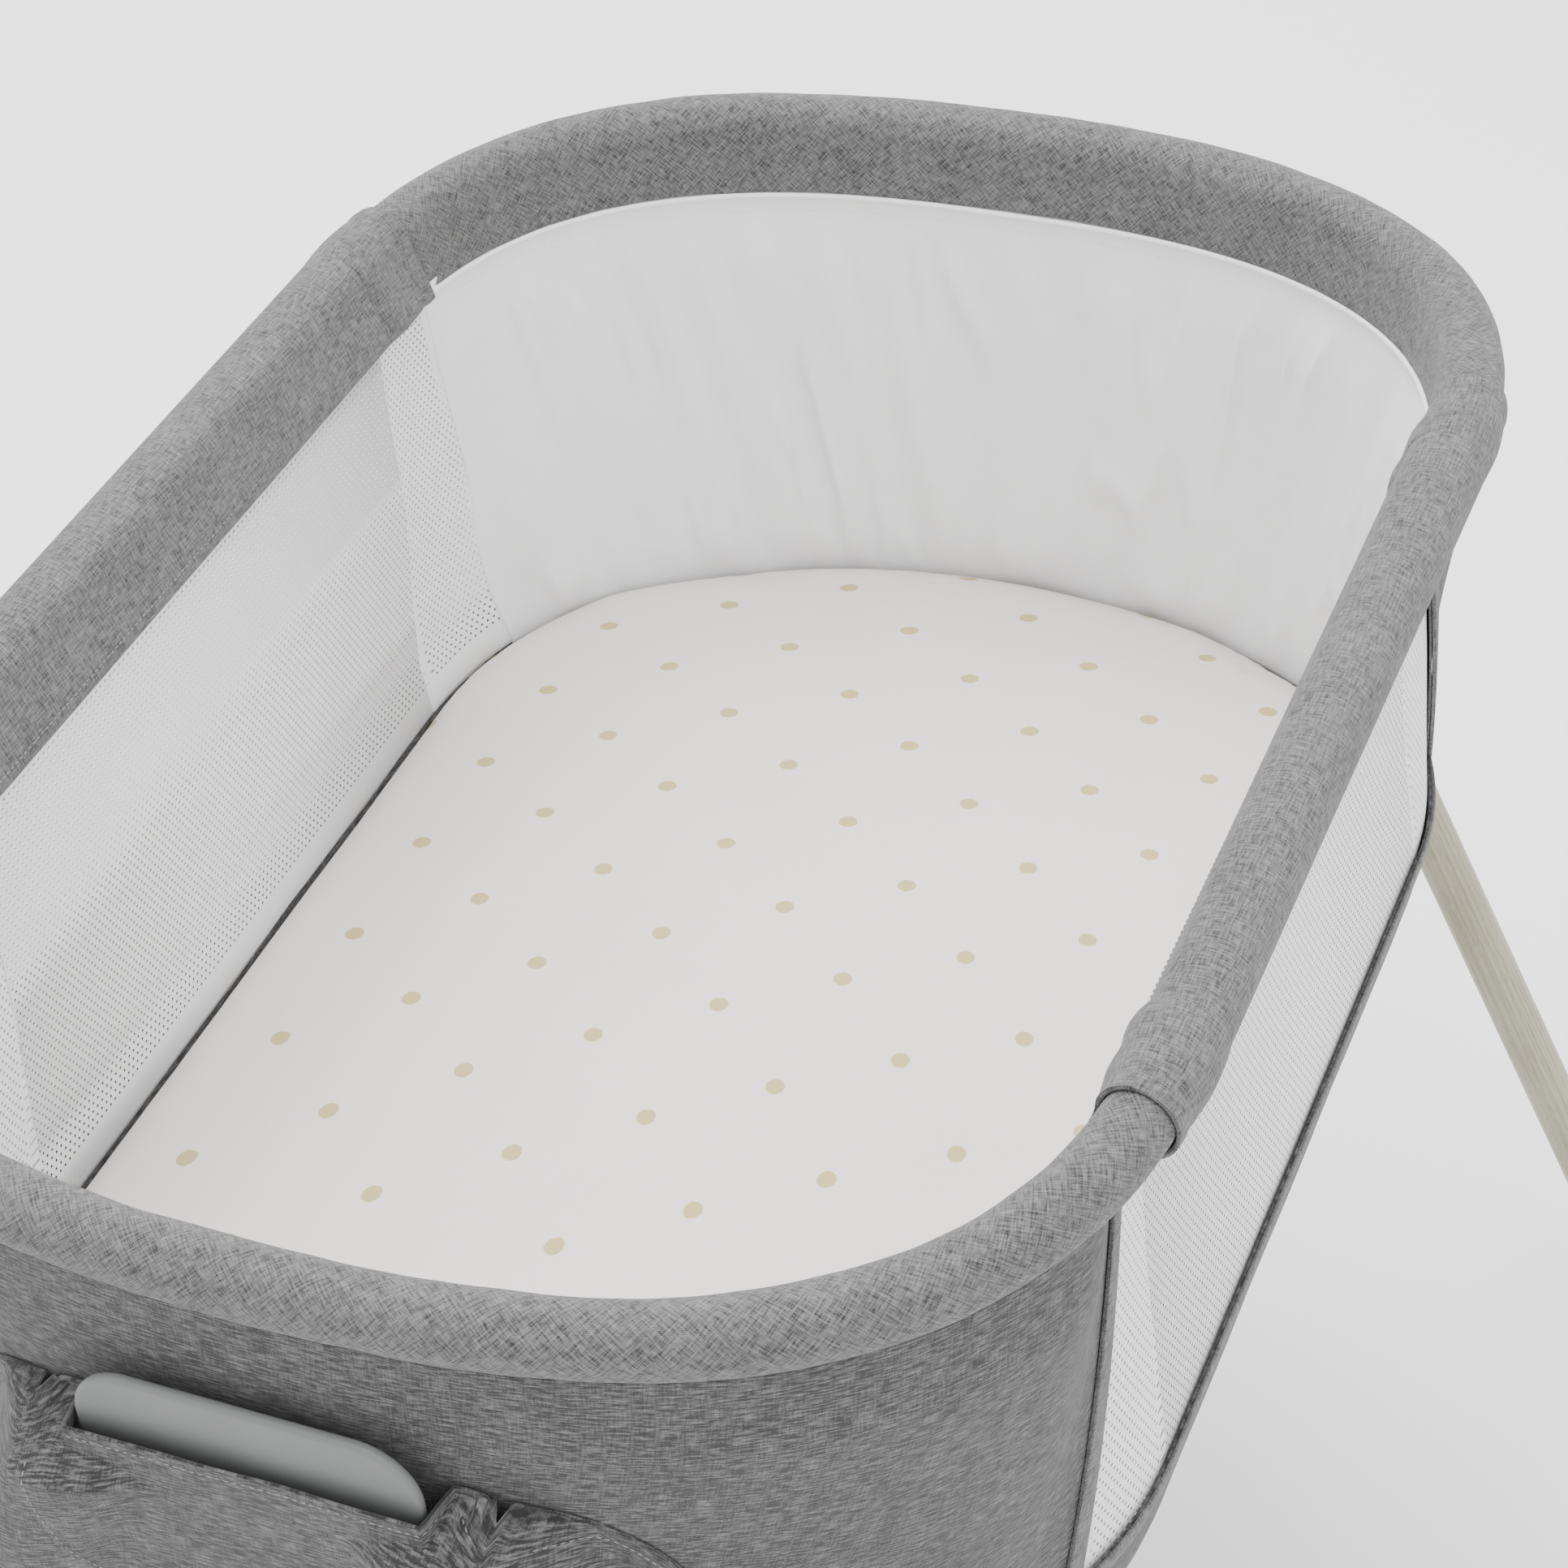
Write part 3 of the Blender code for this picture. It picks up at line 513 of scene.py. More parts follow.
def sheet_material():
    """Off-white cotton jersey with printed tan dots, in staggered rows on the sheet's own print map."""
    scene = bpy.context.scene
    made, tree, shader = start_material("Off-white cotton jersey, printed", 0.95, Sheen_Weight=0.1)
    place = add(tree, "ShaderNodeUVMap", uv_map="Print")
    cell_size = (0.0950, 0.0735)  # two columns, and one row, of the print in metres
    nearest = []
    for shift in (0.5, 0.0):
        cell = add(tree, "ShaderNodeVectorMath",
                   {0: place.outputs[0], 1: (0.5, 1.0, 0), 2: (shift, shift, 0)}, operation="MULTIPLY_ADD")
        part = add(tree, "ShaderNodeVectorMath", {0: cell.outputs[0]}, operation="FRACTION")
        centred = add(tree, "ShaderNodeVectorMath",
                      {0: part.outputs[0], 1: (*cell_size, 0), 2: (-cell_size[0] / 2, -cell_size[1] / 2, 0)},
                      operation="MULTIPLY_ADD")
        apart = add(tree, "ShaderNodeVectorMath", {0: centred.outputs[0]}, operation="LENGTH")
        nearest.append(apart.outputs["Value"])
    closest = add(tree, "ShaderNodeMath", {0: nearest[0], 1: nearest[1]}, operation="MINIMUM")
    body = add(tree, "ShaderNodeTexCoord")
    # Ink that wicks a little way along the knit, so a dot's edge is soft and uneven by 0.5 mm.
    wick = add(tree, "ShaderNodeTexNoise", {"Vector": body.outputs["Object"], "Scale": 420.0, "Detail": 2.0})
    edge = add(tree, "ShaderNodeMath", {0: wick.outputs[0], 1: 0.0012, 2: closest.outputs[0]},
               operation="MULTIPLY_ADD")
    dot = scene.bassinet_sizes.dot + 0.0006
    ink = add(tree, "ShaderNodeMapRange",
              {"Value": edge.outputs[0], "From Min": dot - 0.0003, "From Max": dot + 0.0003,
               "To Min": 1.0, "To Max": 0.0})
    # Jersey loops, drawn 1.4 mm apart so that they show, and soft tonal clouds 60 mm across.
    loops = add(tree, "ShaderNodeTexNoise", {"Vector": body.outputs["Object"], "Scale": 700.0, "Detail": 2.0})
    cloud = add(tree, "ShaderNodeTexNoise", {"Vector": body.outputs["Object"], "Scale": 16.0, "Detail": 1.0})
    tone = add(tree, "ShaderNodeMapRange",
               {"Value": cloud.outputs[0], "From Min": 0.3, "From Max": 0.7, "To Min": 0.975, "To Max": 1.0})
    ground = add(tree, "ShaderNodeVectorMath",
                 {0: scene.bassinet_colours.sheet, "Scale": tone.outputs[0]}, operation="SCALE")
    printed = add(tree, "ShaderNodeMix",
                  {0: ink.outputs[0], 6: ground.outputs[0], 7: rgba(scene.bassinet_colours.dots)},
                  data_type="RGBA")
    tree.links.new(printed.outputs[2], shader.inputs["Base Color"])
    relief = add(tree, "ShaderNodeBump", {"Height": loops.outputs[0], "Strength": 0.35, "Distance": 0.0004})
    tree.links.new(relief.outputs[0], shader.inputs["Normal"])
    return made


def wood_material():
    """Whitewashed beech, sanded and sealed: pale wash over fine grain lines that run down the leg."""
    colours = bpy.context.scene.bassinet_colours
    made, tree, shader = start_material(
        "Beech, whitewashed and sealed", 0.5, Coat_Weight=0.15, Coat_Roughness=0.4)
    place = add(tree, "ShaderNodeUVMap", uv_map="Grain")
    # Grain lines 1.6 mm apart and 120 mm long.
    run = add(tree, "ShaderNodeVectorMath", {0: place.outputs[0], 1: (620.0, 8.0, 1.0)}, operation="MULTIPLY")
    lines = add(tree, "ShaderNodeTexNoise",
                {"Vector": run.outputs[0], "Scale": 1.0, "Detail": 4.0, "Roughness": 0.6, "Distortion": 0.4},
                noise_dimensions="2D")
    # Pores: dark flecks 6 mm long.
    fleck_run = add(tree, "ShaderNodeVectorMath", {0: place.outputs[0], 1: (1500.0, 160.0, 1.0)},
                    operation="MULTIPLY")
    flecks = add(tree, "ShaderNodeTexNoise", {"Vector": fleck_run.outputs[0], "Scale": 1.0, "Detail": 1.0},
                 noise_dimensions="2D")
    wash = add(tree, "ShaderNodeTexNoise", {"Vector": place.outputs[0], "Scale": 18.0, "Detail": 2.0},
               noise_dimensions="2D")
    mixed = add(tree, "ShaderNodeMath", {0: flecks.outputs[0], 1: 0.35, 2: lines.outputs[0]},
                operation="MULTIPLY_ADD")
    mixed = add(tree, "ShaderNodeMath", {0: wash.outputs[0], 1: 0.3, 2: mixed.outputs[0]},
                operation="MULTIPLY_ADD")
    spread = add(tree, "ShaderNodeMapRange",
                 {"Value": mixed.outputs[0], "From Min": 0.62, "From Max": 1.02})
    tint = add(tree, "ShaderNodeMix",
               {0: spread.outputs[0], 6: rgba(colours.grain), 7: rgba(colours.wood)}, data_type="RGBA")
    tree.links.new(tint.outputs[2], shader.inputs["Base Color"])
    relief = add(tree, "ShaderNodeBump", {"Height": mixed.outputs[0], "Strength": 0.25, "Distance": 0.0003})
    tree.links.new(relief.outputs[0], shader.inputs["Normal"])
    return made


def solid_material(name, tint, roughness, grit, relief, spread=0.08, **shader_inputs):
    """A moulded, drawn or pressed part: fine grit of the given pitch in metres, and slight wear in its
    gloss."""
    made, tree, shader = start_material(name, roughness, **shader_inputs)
    place = add(tree, "ShaderNodeTexCoord")
    fine = add(tree, "ShaderNodeTexNoise",
               {"Vector": place.outputs["Object"], "Scale": 1 / grit, "Detail": 3.0})
    patch = add(tree, "ShaderNodeTexNoise", {"Vector": place.outputs["Object"], "Scale": 30.0, "Detail": 3.0})
    tone = add(tree, "ShaderNodeMapRange",
               {"Value": patch.outputs[0], "From Min": 0.3, "From Max": 0.7,
                "To Min": 1 - spread, "To Max": 1.0})
    shaded = add(tree, "ShaderNodeVectorMath", {0: tint, "Scale": tone.outputs[0]}, operation="SCALE")
    tree.links.new(shaded.outputs[0], shader.inputs["Base Color"])
    gloss = add(tree, "ShaderNodeMapRange",
                {"Value": patch.outputs[0], "From Min": 0.3, "From Max": 0.7,
                 "To Min": roughness - 0.06, "To Max": roughness + 0.06})
    tree.links.new(gloss.outputs[0], shader.inputs["Roughness"])
    bumps = add(tree, "ShaderNodeBump",
                {"Height": fine.outputs[0], "Strength": relief, "Distance": grit / 4})
    tree.links.new(bumps.outputs[0], shader.inputs["Normal"])
    return made


def material(key):
    """The finish of that name, made the first time it is asked for."""
    colours = bpy.context.scene.bassinet_colours
    makers = {
        "straight": lambda: melange("Grey melange polyester, straight cut", radians(90), 0.5),
        "bias": lambda: melange("Grey melange polyester, bias cut", radians(45), 0.5),
        "slub": lambda: melange("Grey melange polyester, slub weft", 0.0, 0.74, 0.075),
        "mesh": mesh_material,
        "liner": liner_material,
        "sheet": sheet_material,
        "wood": wood_material,
        # Polypropylene moulded in a spark-eroded tool: matt, with a 0.4 mm grit.
        "moulding": lambda: solid_material(
            "Light grey polypropylene, moulded", colours.moulding, 0.48, 0.0004, 0.12, 0.04),
        # Glass-filled nylon: darker, with a slightly fibrous face.
        "nylon": lambda: solid_material(
            "Dark grey nylon, glass-filled", linear("3A3A3C"), 0.5, 0.0006, 0.2),
        # Drawn and zinc-plated tube: passivated, dull silver with cloudy spangle.
        "steel": lambda: solid_material(
            "Steel, zinc-plated", linear("A4A6A8"), 0.38, 0.0008, 0.1, 0.2, Metallic=1.0),
        # Thermoplastic rubber shoe: soft matt grey.
        "rubber": lambda: solid_material("Grey rubber, moulded", linear("6A6A68"), 0.85, 0.0007, 0.3),
        # Tempered hardboard: smooth brown face with pressed fibres.
        "board": lambda: solid_material("Hardboard, tempered", linear("8B6B4A"), 0.65, 0.0012, 0.3, 0.25),
        # Cut polyurethane foam: open cells.
        "foam": lambda: solid_material("Polyurethane foam, cut", linear("E8E0C8"), 0.95, 0.0010, 0.8),
        # Spun polyester thread of the seams.
        "thread": lambda: solid_material("Grey polyester thread", linear("8A8A8A"), 0.8, 0.0003, 0.4),
        "white thread": lambda: solid_material("White polyester thread", linear("F2F2F2"), 0.75, 0.0003, 0.4),
    }
    names = bpy.context.scene.get("finishes") or {}
    if key in names:
        return bpy.data.materials[names[key]]
    made = makers[key]()
    bpy.context.scene["finishes"] = {**dict(names), key: made.name}
    return made


# ---------------------------------------------------------------- rim


def rim_section(radius, hem, wall):
    """Round padding over the tube, with a flap down its inner side that ends in a folded hem."""
    steps = 34
    arc = [radians(-60 + 232 * i / steps) for i in range(steps + 1)]
    skin = [Vector((radius * cos(a), radius * sin(a))) for a in arc]
    edge = Vector(hem)
    start = skin[-1]
    flap = interpolate_bezier(start, start + 0.011 * Vector((-sin(arc[-1]), cos(arc[-1]))).normalized() * 1.0,
                              edge + Vector((0.0016, 0.0100)), edge, 12)
    skin += [Vector((p[0], p[1])) for p in flap[1:]]
    middle = edge + Vector((wall / 2, 0))
    skin += [middle + wall / 2 * Vector((cos(a), sin(a))) for a in (radians(220), radians(270), radians(320))]
    back = edge + Vector((wall, 0.0))
    under = radians(222)
    join = radius * Vector((cos(under), sin(under)))
    rise = interpolate_bezier(back, back + Vector((0.0008, 0.009)), join + Vector((-0.002, -0.004)), join, 9)
    skin += [Vector((p[0], p[1])) for p in rise]
    skin += [radius * Vector((cos(a), sin(a))) for a in np.linspace(under, radians(300), 9)[1:-1]]
    return skin


def cuff_swell(from_end):
    """How far a sleeve's skin stands out, by the distance from its cuff."""
    roll = 0.0005 * bump(0.0045, 0.004, from_end) - 0.0009 * bump(0.0100, 0.0012, from_end)
    return roll + 0.0012 * bump(0.030, 0.016, from_end)


class BASSINET_OT_rail_sleeves(bpy.types.Operator):
    """Makes the two padded side sleeves with their turned cuffs"""

    bl_idname = "bassinet.rail_sleeves"
    bl_label = "Side sleeves"

    def execute(self, context):
        sizes = context.scene.bassinet_sizes
        section = rim_section(sizes.sleeve_radius, RAIL_HEM, 0.0022)
        turned_in = ((0.016, -0.0022), (0.004, -0.0021), (0.0006, -0.0017), (0.0, -0.0009), (0.0003, 0.0001))
        for side, word in SIDES:
            path, skins = [], []
            inside = [(CUFF_Y - d, s) for d, s in turned_in]
            plain = np.linspace(-CUFF_Y + 0.001, CUFF_Y - 0.001, 190)
            ys = ([(-y, s) for y, s in inside] + [(y, 0.0) for y in plain]
                  + [(y, s) for y, s in reversed(inside)])
            run = 0.0
            last = None
            for y, skin in ys:
                point, normal = side_at(RIM, side, y)
                run += 0.0 if last is None else (point - last).length
                last = point
                path.append((point, normal, run))
                skins.append((y, skin))
            by_run = {at: entry for (_, _, at), entry in zip(path, skins)}
            span = len(section)

            def swell(at, j, by_run=by_run, side=side, span=span):
                y, skin = by_run[at]
                from_end = CUFF_Y - abs(y)
                # Knuckle of the corner joint, felt through the padding on the inner side.
                inner = smooth(0.25, 0.5, j / span) * (1 - smooth(0.62, 0.7, j / span))
                knuckle = 0.0030 * bump(0.040, 0.013, from_end) * inner
                creep = 0.00035 * ripple(y * 38, j * 0.35, 3.0 + side)
                drag = 0.0005 * ripple(y * 14, j * 0.12, 9.0 + side)
                outer = creep + drag + cuff_swell(from_end) + knuckle
                return skin if skin < 0 else outer + skin

            work = sweep(path, section, swell)
            close_ends(work)
            piece = finish(f"side_sleeve_{word}", work, material("straight"), "rim",
                           [f"rail_sleeve_{word}"])
            self.hem_stitches(side, word, sizes)
        return {"FINISHED"}

    def hem_stitches(self, side, word, sizes):
        offset, height = RAIL_HEM[0] + 0.0008, RAIL_HEM[1] + 0.0052
        ys = np.linspace(-CUFF_Y + 0.006, CUFF_Y - 0.006, 160)
        points, normals = [], []
        for y in ys:
            point, normal = side_at(RIM, side, y)
            place = point + normal * (offset - 0.0001)
            points.append((place.x, place.y, RIM_Z + height))
            normals.append((-normal.x, -normal.y, 0.15))
        stitches(f"side_hem_stitches_{word}", points, normals, material("thread"), "rim",
                 sizes.stitch)


class BASSINET_OT_arc_covers(bpy.types.Operator):
    """Makes the two bias-cut end covers and the white piping under their hems"""

    bl_idname = "bassinet.arc_covers"
    bl_label = "End covers"

    def execute(self, context):
        sizes = context.scene.bassinet_sizes
        section = rim_section(sizes.cover_radius, ARC_HEM, 0.0018)
        angles, length = even_angles(RIM, first_angle(RIM, ARC_END_Y), 230)
        for end, word in ENDS:
            path = [(*end_at(RIM, end, a), length * i / (len(angles) - 1)) for i, a in enumerate(angles)]

            def swell(at, j, end=end):
                # Slight puckers where the bias cloth eases round the bend, strongest along the hem.
                ease = 0.00035 * ripple(at * 55, j * 0.22, 5.0 + end)
                return ease + 0.0006 * ripple(at * 16, j * 0.10, 11.0 + end)

            work = sweep(path, section, swell)
            close_ends(work)
            piece = finish(f"end_cover_{word}", work, material("bias"), "rim",
                           [f"arc_cover_{word}"])
            self.piping(end, word)
        return {"FINISHED"}

    def piping(self, end, word):
        radius = 0.0014
        section = [(ARC_HEM[0] - 0.0002 + radius * cos(a), ARC_HEM[1] - 0.0022 + radius * sin(a))
                   for a in np.linspace(0, 2 * pi, 13)[:-1]]
        angles, length = even_angles(RIM, first_angle(RIM, INNER_SEAM[0] + 0.011), 170)
        path = [(*end_at(RIM, end, a), length * i / (len(angles) - 1)) for i, a in enumerate(angles)]
        work = sweep(path, section, lambda at, j: 0.00008 * ripple(at * 300, j, 2.0))
        close_ends(work)
        finish(f"end_piping_{word}", work, material("liner"), "rim")


# ---------------------------------------------------------------- walls


MESH_FOOT = base_oval(0.2574, 0.3930)
MESH_BROW = base_oval(0.2612, 0.3950)
LINER_FOOT = base_oval(0.2566, 0.3786)


MESH_FOOT_Z = 0.4800


def mesh_place(side, y, z):
    """Where the taut mesh of a side stands at y and z."""
    head = side_at(RIM, side, y)
    high = head[0] - 0.0195 * head[1]
    brow = side_at(MESH_BROW, side, y)[0]
    if z < BASE_TOP_Z:
        place = side_at(MESH_FOOT, side, y)[0].lerp(brow, (z - MESH_FOOT_Z) / (BASE_TOP_Z - MESH_FOOT_Z))
    else:
        place = brow.lerp(high, (z - BASE_TOP_Z) / (MESH_TOP - BASE_TOP_Z))
    return Vector((place.x, place.y, z))


def seam_y(seam, t):
    return seam[0] + (seam[1] - seam[0]) * t


def liner_point(end, t, c, wrinkle):
    """A point of the end liner, with t from its top edge down and c from right to left."""
    top_z, foot_z = LINER_TOP, 0.4790
    share = t ** 0.92
    tops = end_at(RIM, end, liner_angle(RIM, t, c))
    feet = end_at(LINER_FOOT, end, liner_angle(LINER_FOOT, t, c))
    high = tops[0] - 0.0152 * tops[1]
    place = high.lerp(feet[0], share)
    normal = tops[1].lerp(feet[1], share).normalized()
    # Long soft folds that hang from the top seam, and die out at the edges.
    hang = (smooth(0.02, 0.22, t) * (1 - smooth(0.86, 1.0, t))
            * smooth(0.0, 0.06, c) * smooth(0.0, 0.06, 1 - c))
    broad = ripple(c * 8.5 + 0.5 * t, t * 0.9, 4.0 + end)
    narrow = ripple(c * 30 + 1.6 * t * ripple(c * 3, 0, 8.0), t * 1.6, 7.0 + end)
    sharp = max(0.0, 1 - 5.5 * abs(narrow)) * smooth(-0.15, 0.35, ripple(c * 9, t * 2.2, 12.0 + end))
    belly = -0.0008 * sin(pi * t)
    moved = place + normal * (wrinkle * hang * (0.7 * broad + 0.6 * narrow - 0.5 * sharp - 0.4) + belly)
    z = top_z + (foot_z - top_z) * t
    # Beside its seams the liner lies on the mesh.
    side = RIGHT if c < 0.5 else LEFT
    share = 1 - smooth(0.0, 0.07, min(c, 1 - c))
    lain = mesh_place(side, moved.y, z)
    return Vector((moved.x + share * (lain.x - side * 0.0008 - moved.x), moved.y, z))


def liner_angle(oval, t, c):
    first = first_angle(oval, seam_y(INNER_SEAM, t))
    return first + (pi - 2 * first) * c


class BASSINET_OT_liners(bpy.types.Operator):
    """Makes the white coated liner inside each end, with its top stitch line"""

    bl_idname = "bassinet.liners"
    bl_label = "End liners"

    def execute(self, context):
        sizes = context.scene.bassinet_sizes
        for end, word in ENDS:
            work = grid(lambda t, c: liner_point(end, t, c, sizes.wrinkle), 64, 240)
            outward(work, from_middle)
            piece = finish(f"liner_{word}", work, material("liner"), "base", [f"end_liner_{word}"],
                           recalc=False, sharp=180)
            thicken(piece, 0.0010, 1.0)
            fold_with_walls(piece)
            share = 0.062
            spots = np.linspace(0.015, 0.985, 260)
            points = [liner_point(end, share, c, sizes.wrinkle) for c in spots]
            normals = [-from_middle(p).normalized() for p in points]
            points = [p + 0.0001 * n for p, n in zip(points, normals)]
            row = stitches(f"liner_stitches_{word}", points, normals, material("white thread"), "base",
                           sizes.stitch, 0.00026)
            fold_with_walls(row)
        return {"FINISHED"}


class BASSINET_OT_mesh_walls(bpy.types.Operator):
    """Makes the white mesh wall of each long side"""

    bl_idname = "bassinet.mesh_walls"
    bl_label = "Mesh walls"

    def execute(self, context):
        for side, word in SIDES:
            work = grid(lambda t, c: self.point(side, t, c), 60, 170)
            outward(work, from_middle)
            piece = finish(f"mesh_side_{word}", work, material("mesh"), "base", [f"mesh_wall_{word}"],
                           recalc=False, sharp=180)
            thicken(piece, 0.0008, 0.0)
            fold_with_walls(piece)
        return {"FINISHED"}

    def point(self, side, t, c):
        """t runs from the foot up and c from near to far."""
        reach = seam_y(INNER_SEAM, 1 - t) + 0.006
        y = reach * (2 * c - 1)
        z = MESH_FOOT_Z + (MESH_TOP - MESH_FOOT_Z) * t
        place = mesh_place(side, y, z)
        inward = -side_at(RIM, side, y)[1]
        slack = 0.0030 * sin(pi * smooth(0.1, 1.0, t)) * (1 - (2 * c - 1) ** 4)
        soft = 0.0009 * ripple(y * 9, z * 12, 6.0 + side) * sin(pi * t)
        place = place + Vector((*inward, 0)) * (slack + soft)
        return Vector((place.x, place.y, z))


PANEL_FOOT = base_oval(0.2640, 0.3980)
PANEL_FOOT_Z = 0.5162
PANEL_WAIST_Z = 0.690


def panel_v(x, z):
    """How far along Y the outer face of an end panel reaches, at x and z."""
    share = (z - PANEL_FOOT_Z) / (PANEL_WAIST_Z - PANEL_FOOT_Z)
    return (1 - share) * oval_v(PANEL_FOOT, x) + share * (oval_v(RIM, x) + 0.0085)


def panel_point(end, t, c):
    """A point of the outer end panel, with t from its foot up and c from right to left."""
    z = PANEL_FOOT_Z + (0.7312 - PANEL_FOOT_Z) * t
    y = seam_y(OUTER_SEAM, 1 - t)
    ovals = []
    for oval in (PANEL_FOOT, RIM):
        first = first_angle(oval, y)
        ovals.append(end_at(oval, end, first + (pi - 2 * first) * c))
    foot, head = ovals
    share = min((z - PANEL_FOOT_Z) / (PANEL_WAIST_Z - PANEL_FOOT_Z), 1.0)
    # Towards the seams the panel comes in to lie on the mesh.
    edge = smooth(0.0, 0.115, min(c, 1 - c))
    stand = -0.0150 + 0.0235 * edge
    high = head[0] + head[1] * (stand - 0.0011 * smooth(PANEL_WAIST_Z, 0.7275, z))
    low = foot[0] - foot[1] * 0.0005
    place = low.lerp(high, share)
    normal = foot[1].lerp(head[1], share).normalized()
    pull = 0.0012 * ripple(c * 9, t * 3.0, 14.0 + end) * sin(pi * t) * edge
    place = place + normal * pull
    return Vector((place.x, place.y, z)), normal


class BASSINET_OT_end_panels(bpy.types.Operator):
    """Makes the grey cloth panel outside each end, with the folded bindings along its side seams"""

    bl_idname = "bassinet.end_panels"
    bl_label = "End panels"

    def execute(self, context):
        for end, word in ENDS:
            work = grid(lambda t, c: panel_point(end, t, c)[0], 56, 260)
            outward(work, from_middle)
            piece = finish(f"outer_panel_{word}", work, material("slub"), "base",
                           [f"end_panel_{word}"], recalc=False, sharp=180)
            thicken(piece, 0.0012, -1.0)
            fold_with_walls(piece)
            for side, side_word in SIDES:
                self.binding(end, word, side, side_word)
        return {"FINISHED"}

    def binding(self, end, word, side, side_word):
        """A folded strip, 9 mm wide, laid over the seam between the panel and the mesh."""
        half, thick, lift = 0.0048, 0.0013, 0.0014
        outline = [(half * cos(a), thick * sin(a)) for a in np.linspace(0, 2 * pi, 25)[:-1]]
        outline = [(max(min(x * 1.35, half), -half), y) for x, y in outline]
        rows, run = [], []
        for i in range(70):
            t = 1 - i / 69
            edge = 0.002 if side == RIGHT else 0.998
            at = panel_point(end, t, edge)[0]
            ahead = panel_point(end, max(t - 0.01, 0.0), edge)[0]
            behind = panel_point(end, min(t + 0.01, 1.0), edge)[0]
            along = (ahead - behind).normalized()
            inside = panel_point(end, t, 0.016 if side == RIGHT else 0.984)[0]
            across = (inside - at).normalized()
            out = along.cross(across).normalized()
            out = out if out.dot(from_middle(at)) > 0 else -out
            rows.append([at + across * (x + 0.0036) + out * (y + lift) for x, y in outline])
            run.append(at)
        work = loft(rows, distances(run), distances([*map(lambda p: (*p, 0), outline), (*outline[0], 0)]),
                    ring=True)
        close_ends(work)
        piece = finish(f"panel_binding_{word}_{side_word}", work, material("straight"), "base",
                       sharp=60)
        length = distances(run)[-1]
        fold_with_walls(piece)


# ---------------------------------------------------------------- leg pockets


def pocket_plan(z):
    """The pocket's plan at z for x >= 0, from its outer edge to the middle."""
    centre = leg_x(z)
    reach = centre + 0.045
    return [
        (reach, panel_v(reach, min(z, PANEL_WAIST_Z)) + 0.0020),
        (centre + 0.031, 0.4140),
        (centre + 0.019, 0.4335),
        (centre, 0.4373),
        (centre - 0.019, 0.4335),
        (centre - 0.034, 0.4236),
        (centre - 0.046, 0.4222),
        (0.0, 0.4222),
    ]


def plan_v(x, z):
    """How far out the pocket stands at x, with its plan's corners rounded."""
    plan = sorted(pocket_plan(z))
    xs = np.array([p[0] for p in plan])
    vs = np.array([p[1] for p in plan])
    spots = np.clip(abs(x) + np.linspace(-0.008, 0.008, 9), 0.0, xs[-1])
    weights = np.array([1, 3, 6, 9, 10, 9, 6, 3, 1], float)
    return float(np.average(np.interp(spots, xs, vs), weights=weights))


FLAP_CORNERS = {LEFT: 0.0900, RIGHT: 0.0960}
FLAP_TOP_Z, FLAP_CORNER_Z = 0.6700, 0.6580
OPENING = 0.0750


def dome_top(x):
    """The height of the pocket's arched shoulder seam at x, beyond the flap."""
    share = min(max((abs(x) - 0.094) / 0.058, 0.0), 1.0)
    return 0.6625 - 0.0630 * (1 - (1 - share**2) ** 0.5)


def flap_edge(side, z):
    """The flap's width on one side at z: it draws in as it goes down."""
    depth = min(max((FLAP_TOP_Z - z) / (FLAP_TOP_Z - POCKET_FOOT_Z), 0.0), 1.0)
    return FLAP_CORNERS[side] - 0.040 * depth**1.7


def crown_reach(z):
    """How far the crown inside reaches along X at z, and above it the handle."""
    return float(np.interp(z, (0.566, 0.640, 0.656, 0.6575), (0.1150, 0.0900, 0.0770, 0.0702)))


def pocket_top(x):
    """The height of the pocket's open top edge over the flap, and of its seam over the shoulders."""
    if abs(x) < OPENING:
        return FLAP_TOP_Z - 0.0012 * (x / OPENING) ** 4
    low = FLAP_TOP_Z - 0.0012
    return low + (dome_top(x) - low) * smooth(OPENING, 0.100, abs(x))


def pocket_stand(end, x, z):
    """How far along Y the pocket's cloth stands at x and z, with x as seen from outside the near end."""
    side = RIGHT if x > 0 else LEFT
    flat = panel_v(x, min(z, PANEL_WAIST_Z)) + 0.0016
    rise = min(max((0.6645 - z) / 0.0150, 0.0), 1.0) ** 0.5
    if abs(x) > 0.094:
        rise = min(rise, (1 - (1 - min(max((dome_top(x) - z) / 0.030, 0.0), 1.0)) ** 2) ** 0.5)
    socket = max(plan_v(x, min(z, 0.648)) - flat, 0.0) * rise
    reach = crown_reach(z) + 0.0015
    plate = (0.4228 - flat) * (
        1 - smooth(reach, reach + 0.0035 + 0.010 * (1 - smooth(0.655, 0.662, z)), abs(x)))
    layer = 0.0016 * smooth(0.0, 0.0016, flap_edge(side, z) - abs(x)) * smooth(0.560, 0.575, z)
    drag = (ripple(x * 26 - z * 30, z * 9 + x * 7, 21.0 + end)
            + 0.6 * ripple(x * 9 + z * 44, z * 26, 31.0 + end))
    return (flat + max(socket, plate) + layer
            + 0.0010 * (drag + 0.6) * smooth(0.001, 0.010, max(socket, plate)))


def pocket_point(end, x, z, lift=0.0):
    """The same, as a point of the end, which is turned half round Z at the far one."""
    return Vector((-end * x, end * (pocket_stand(end, x, z) + lift), z))


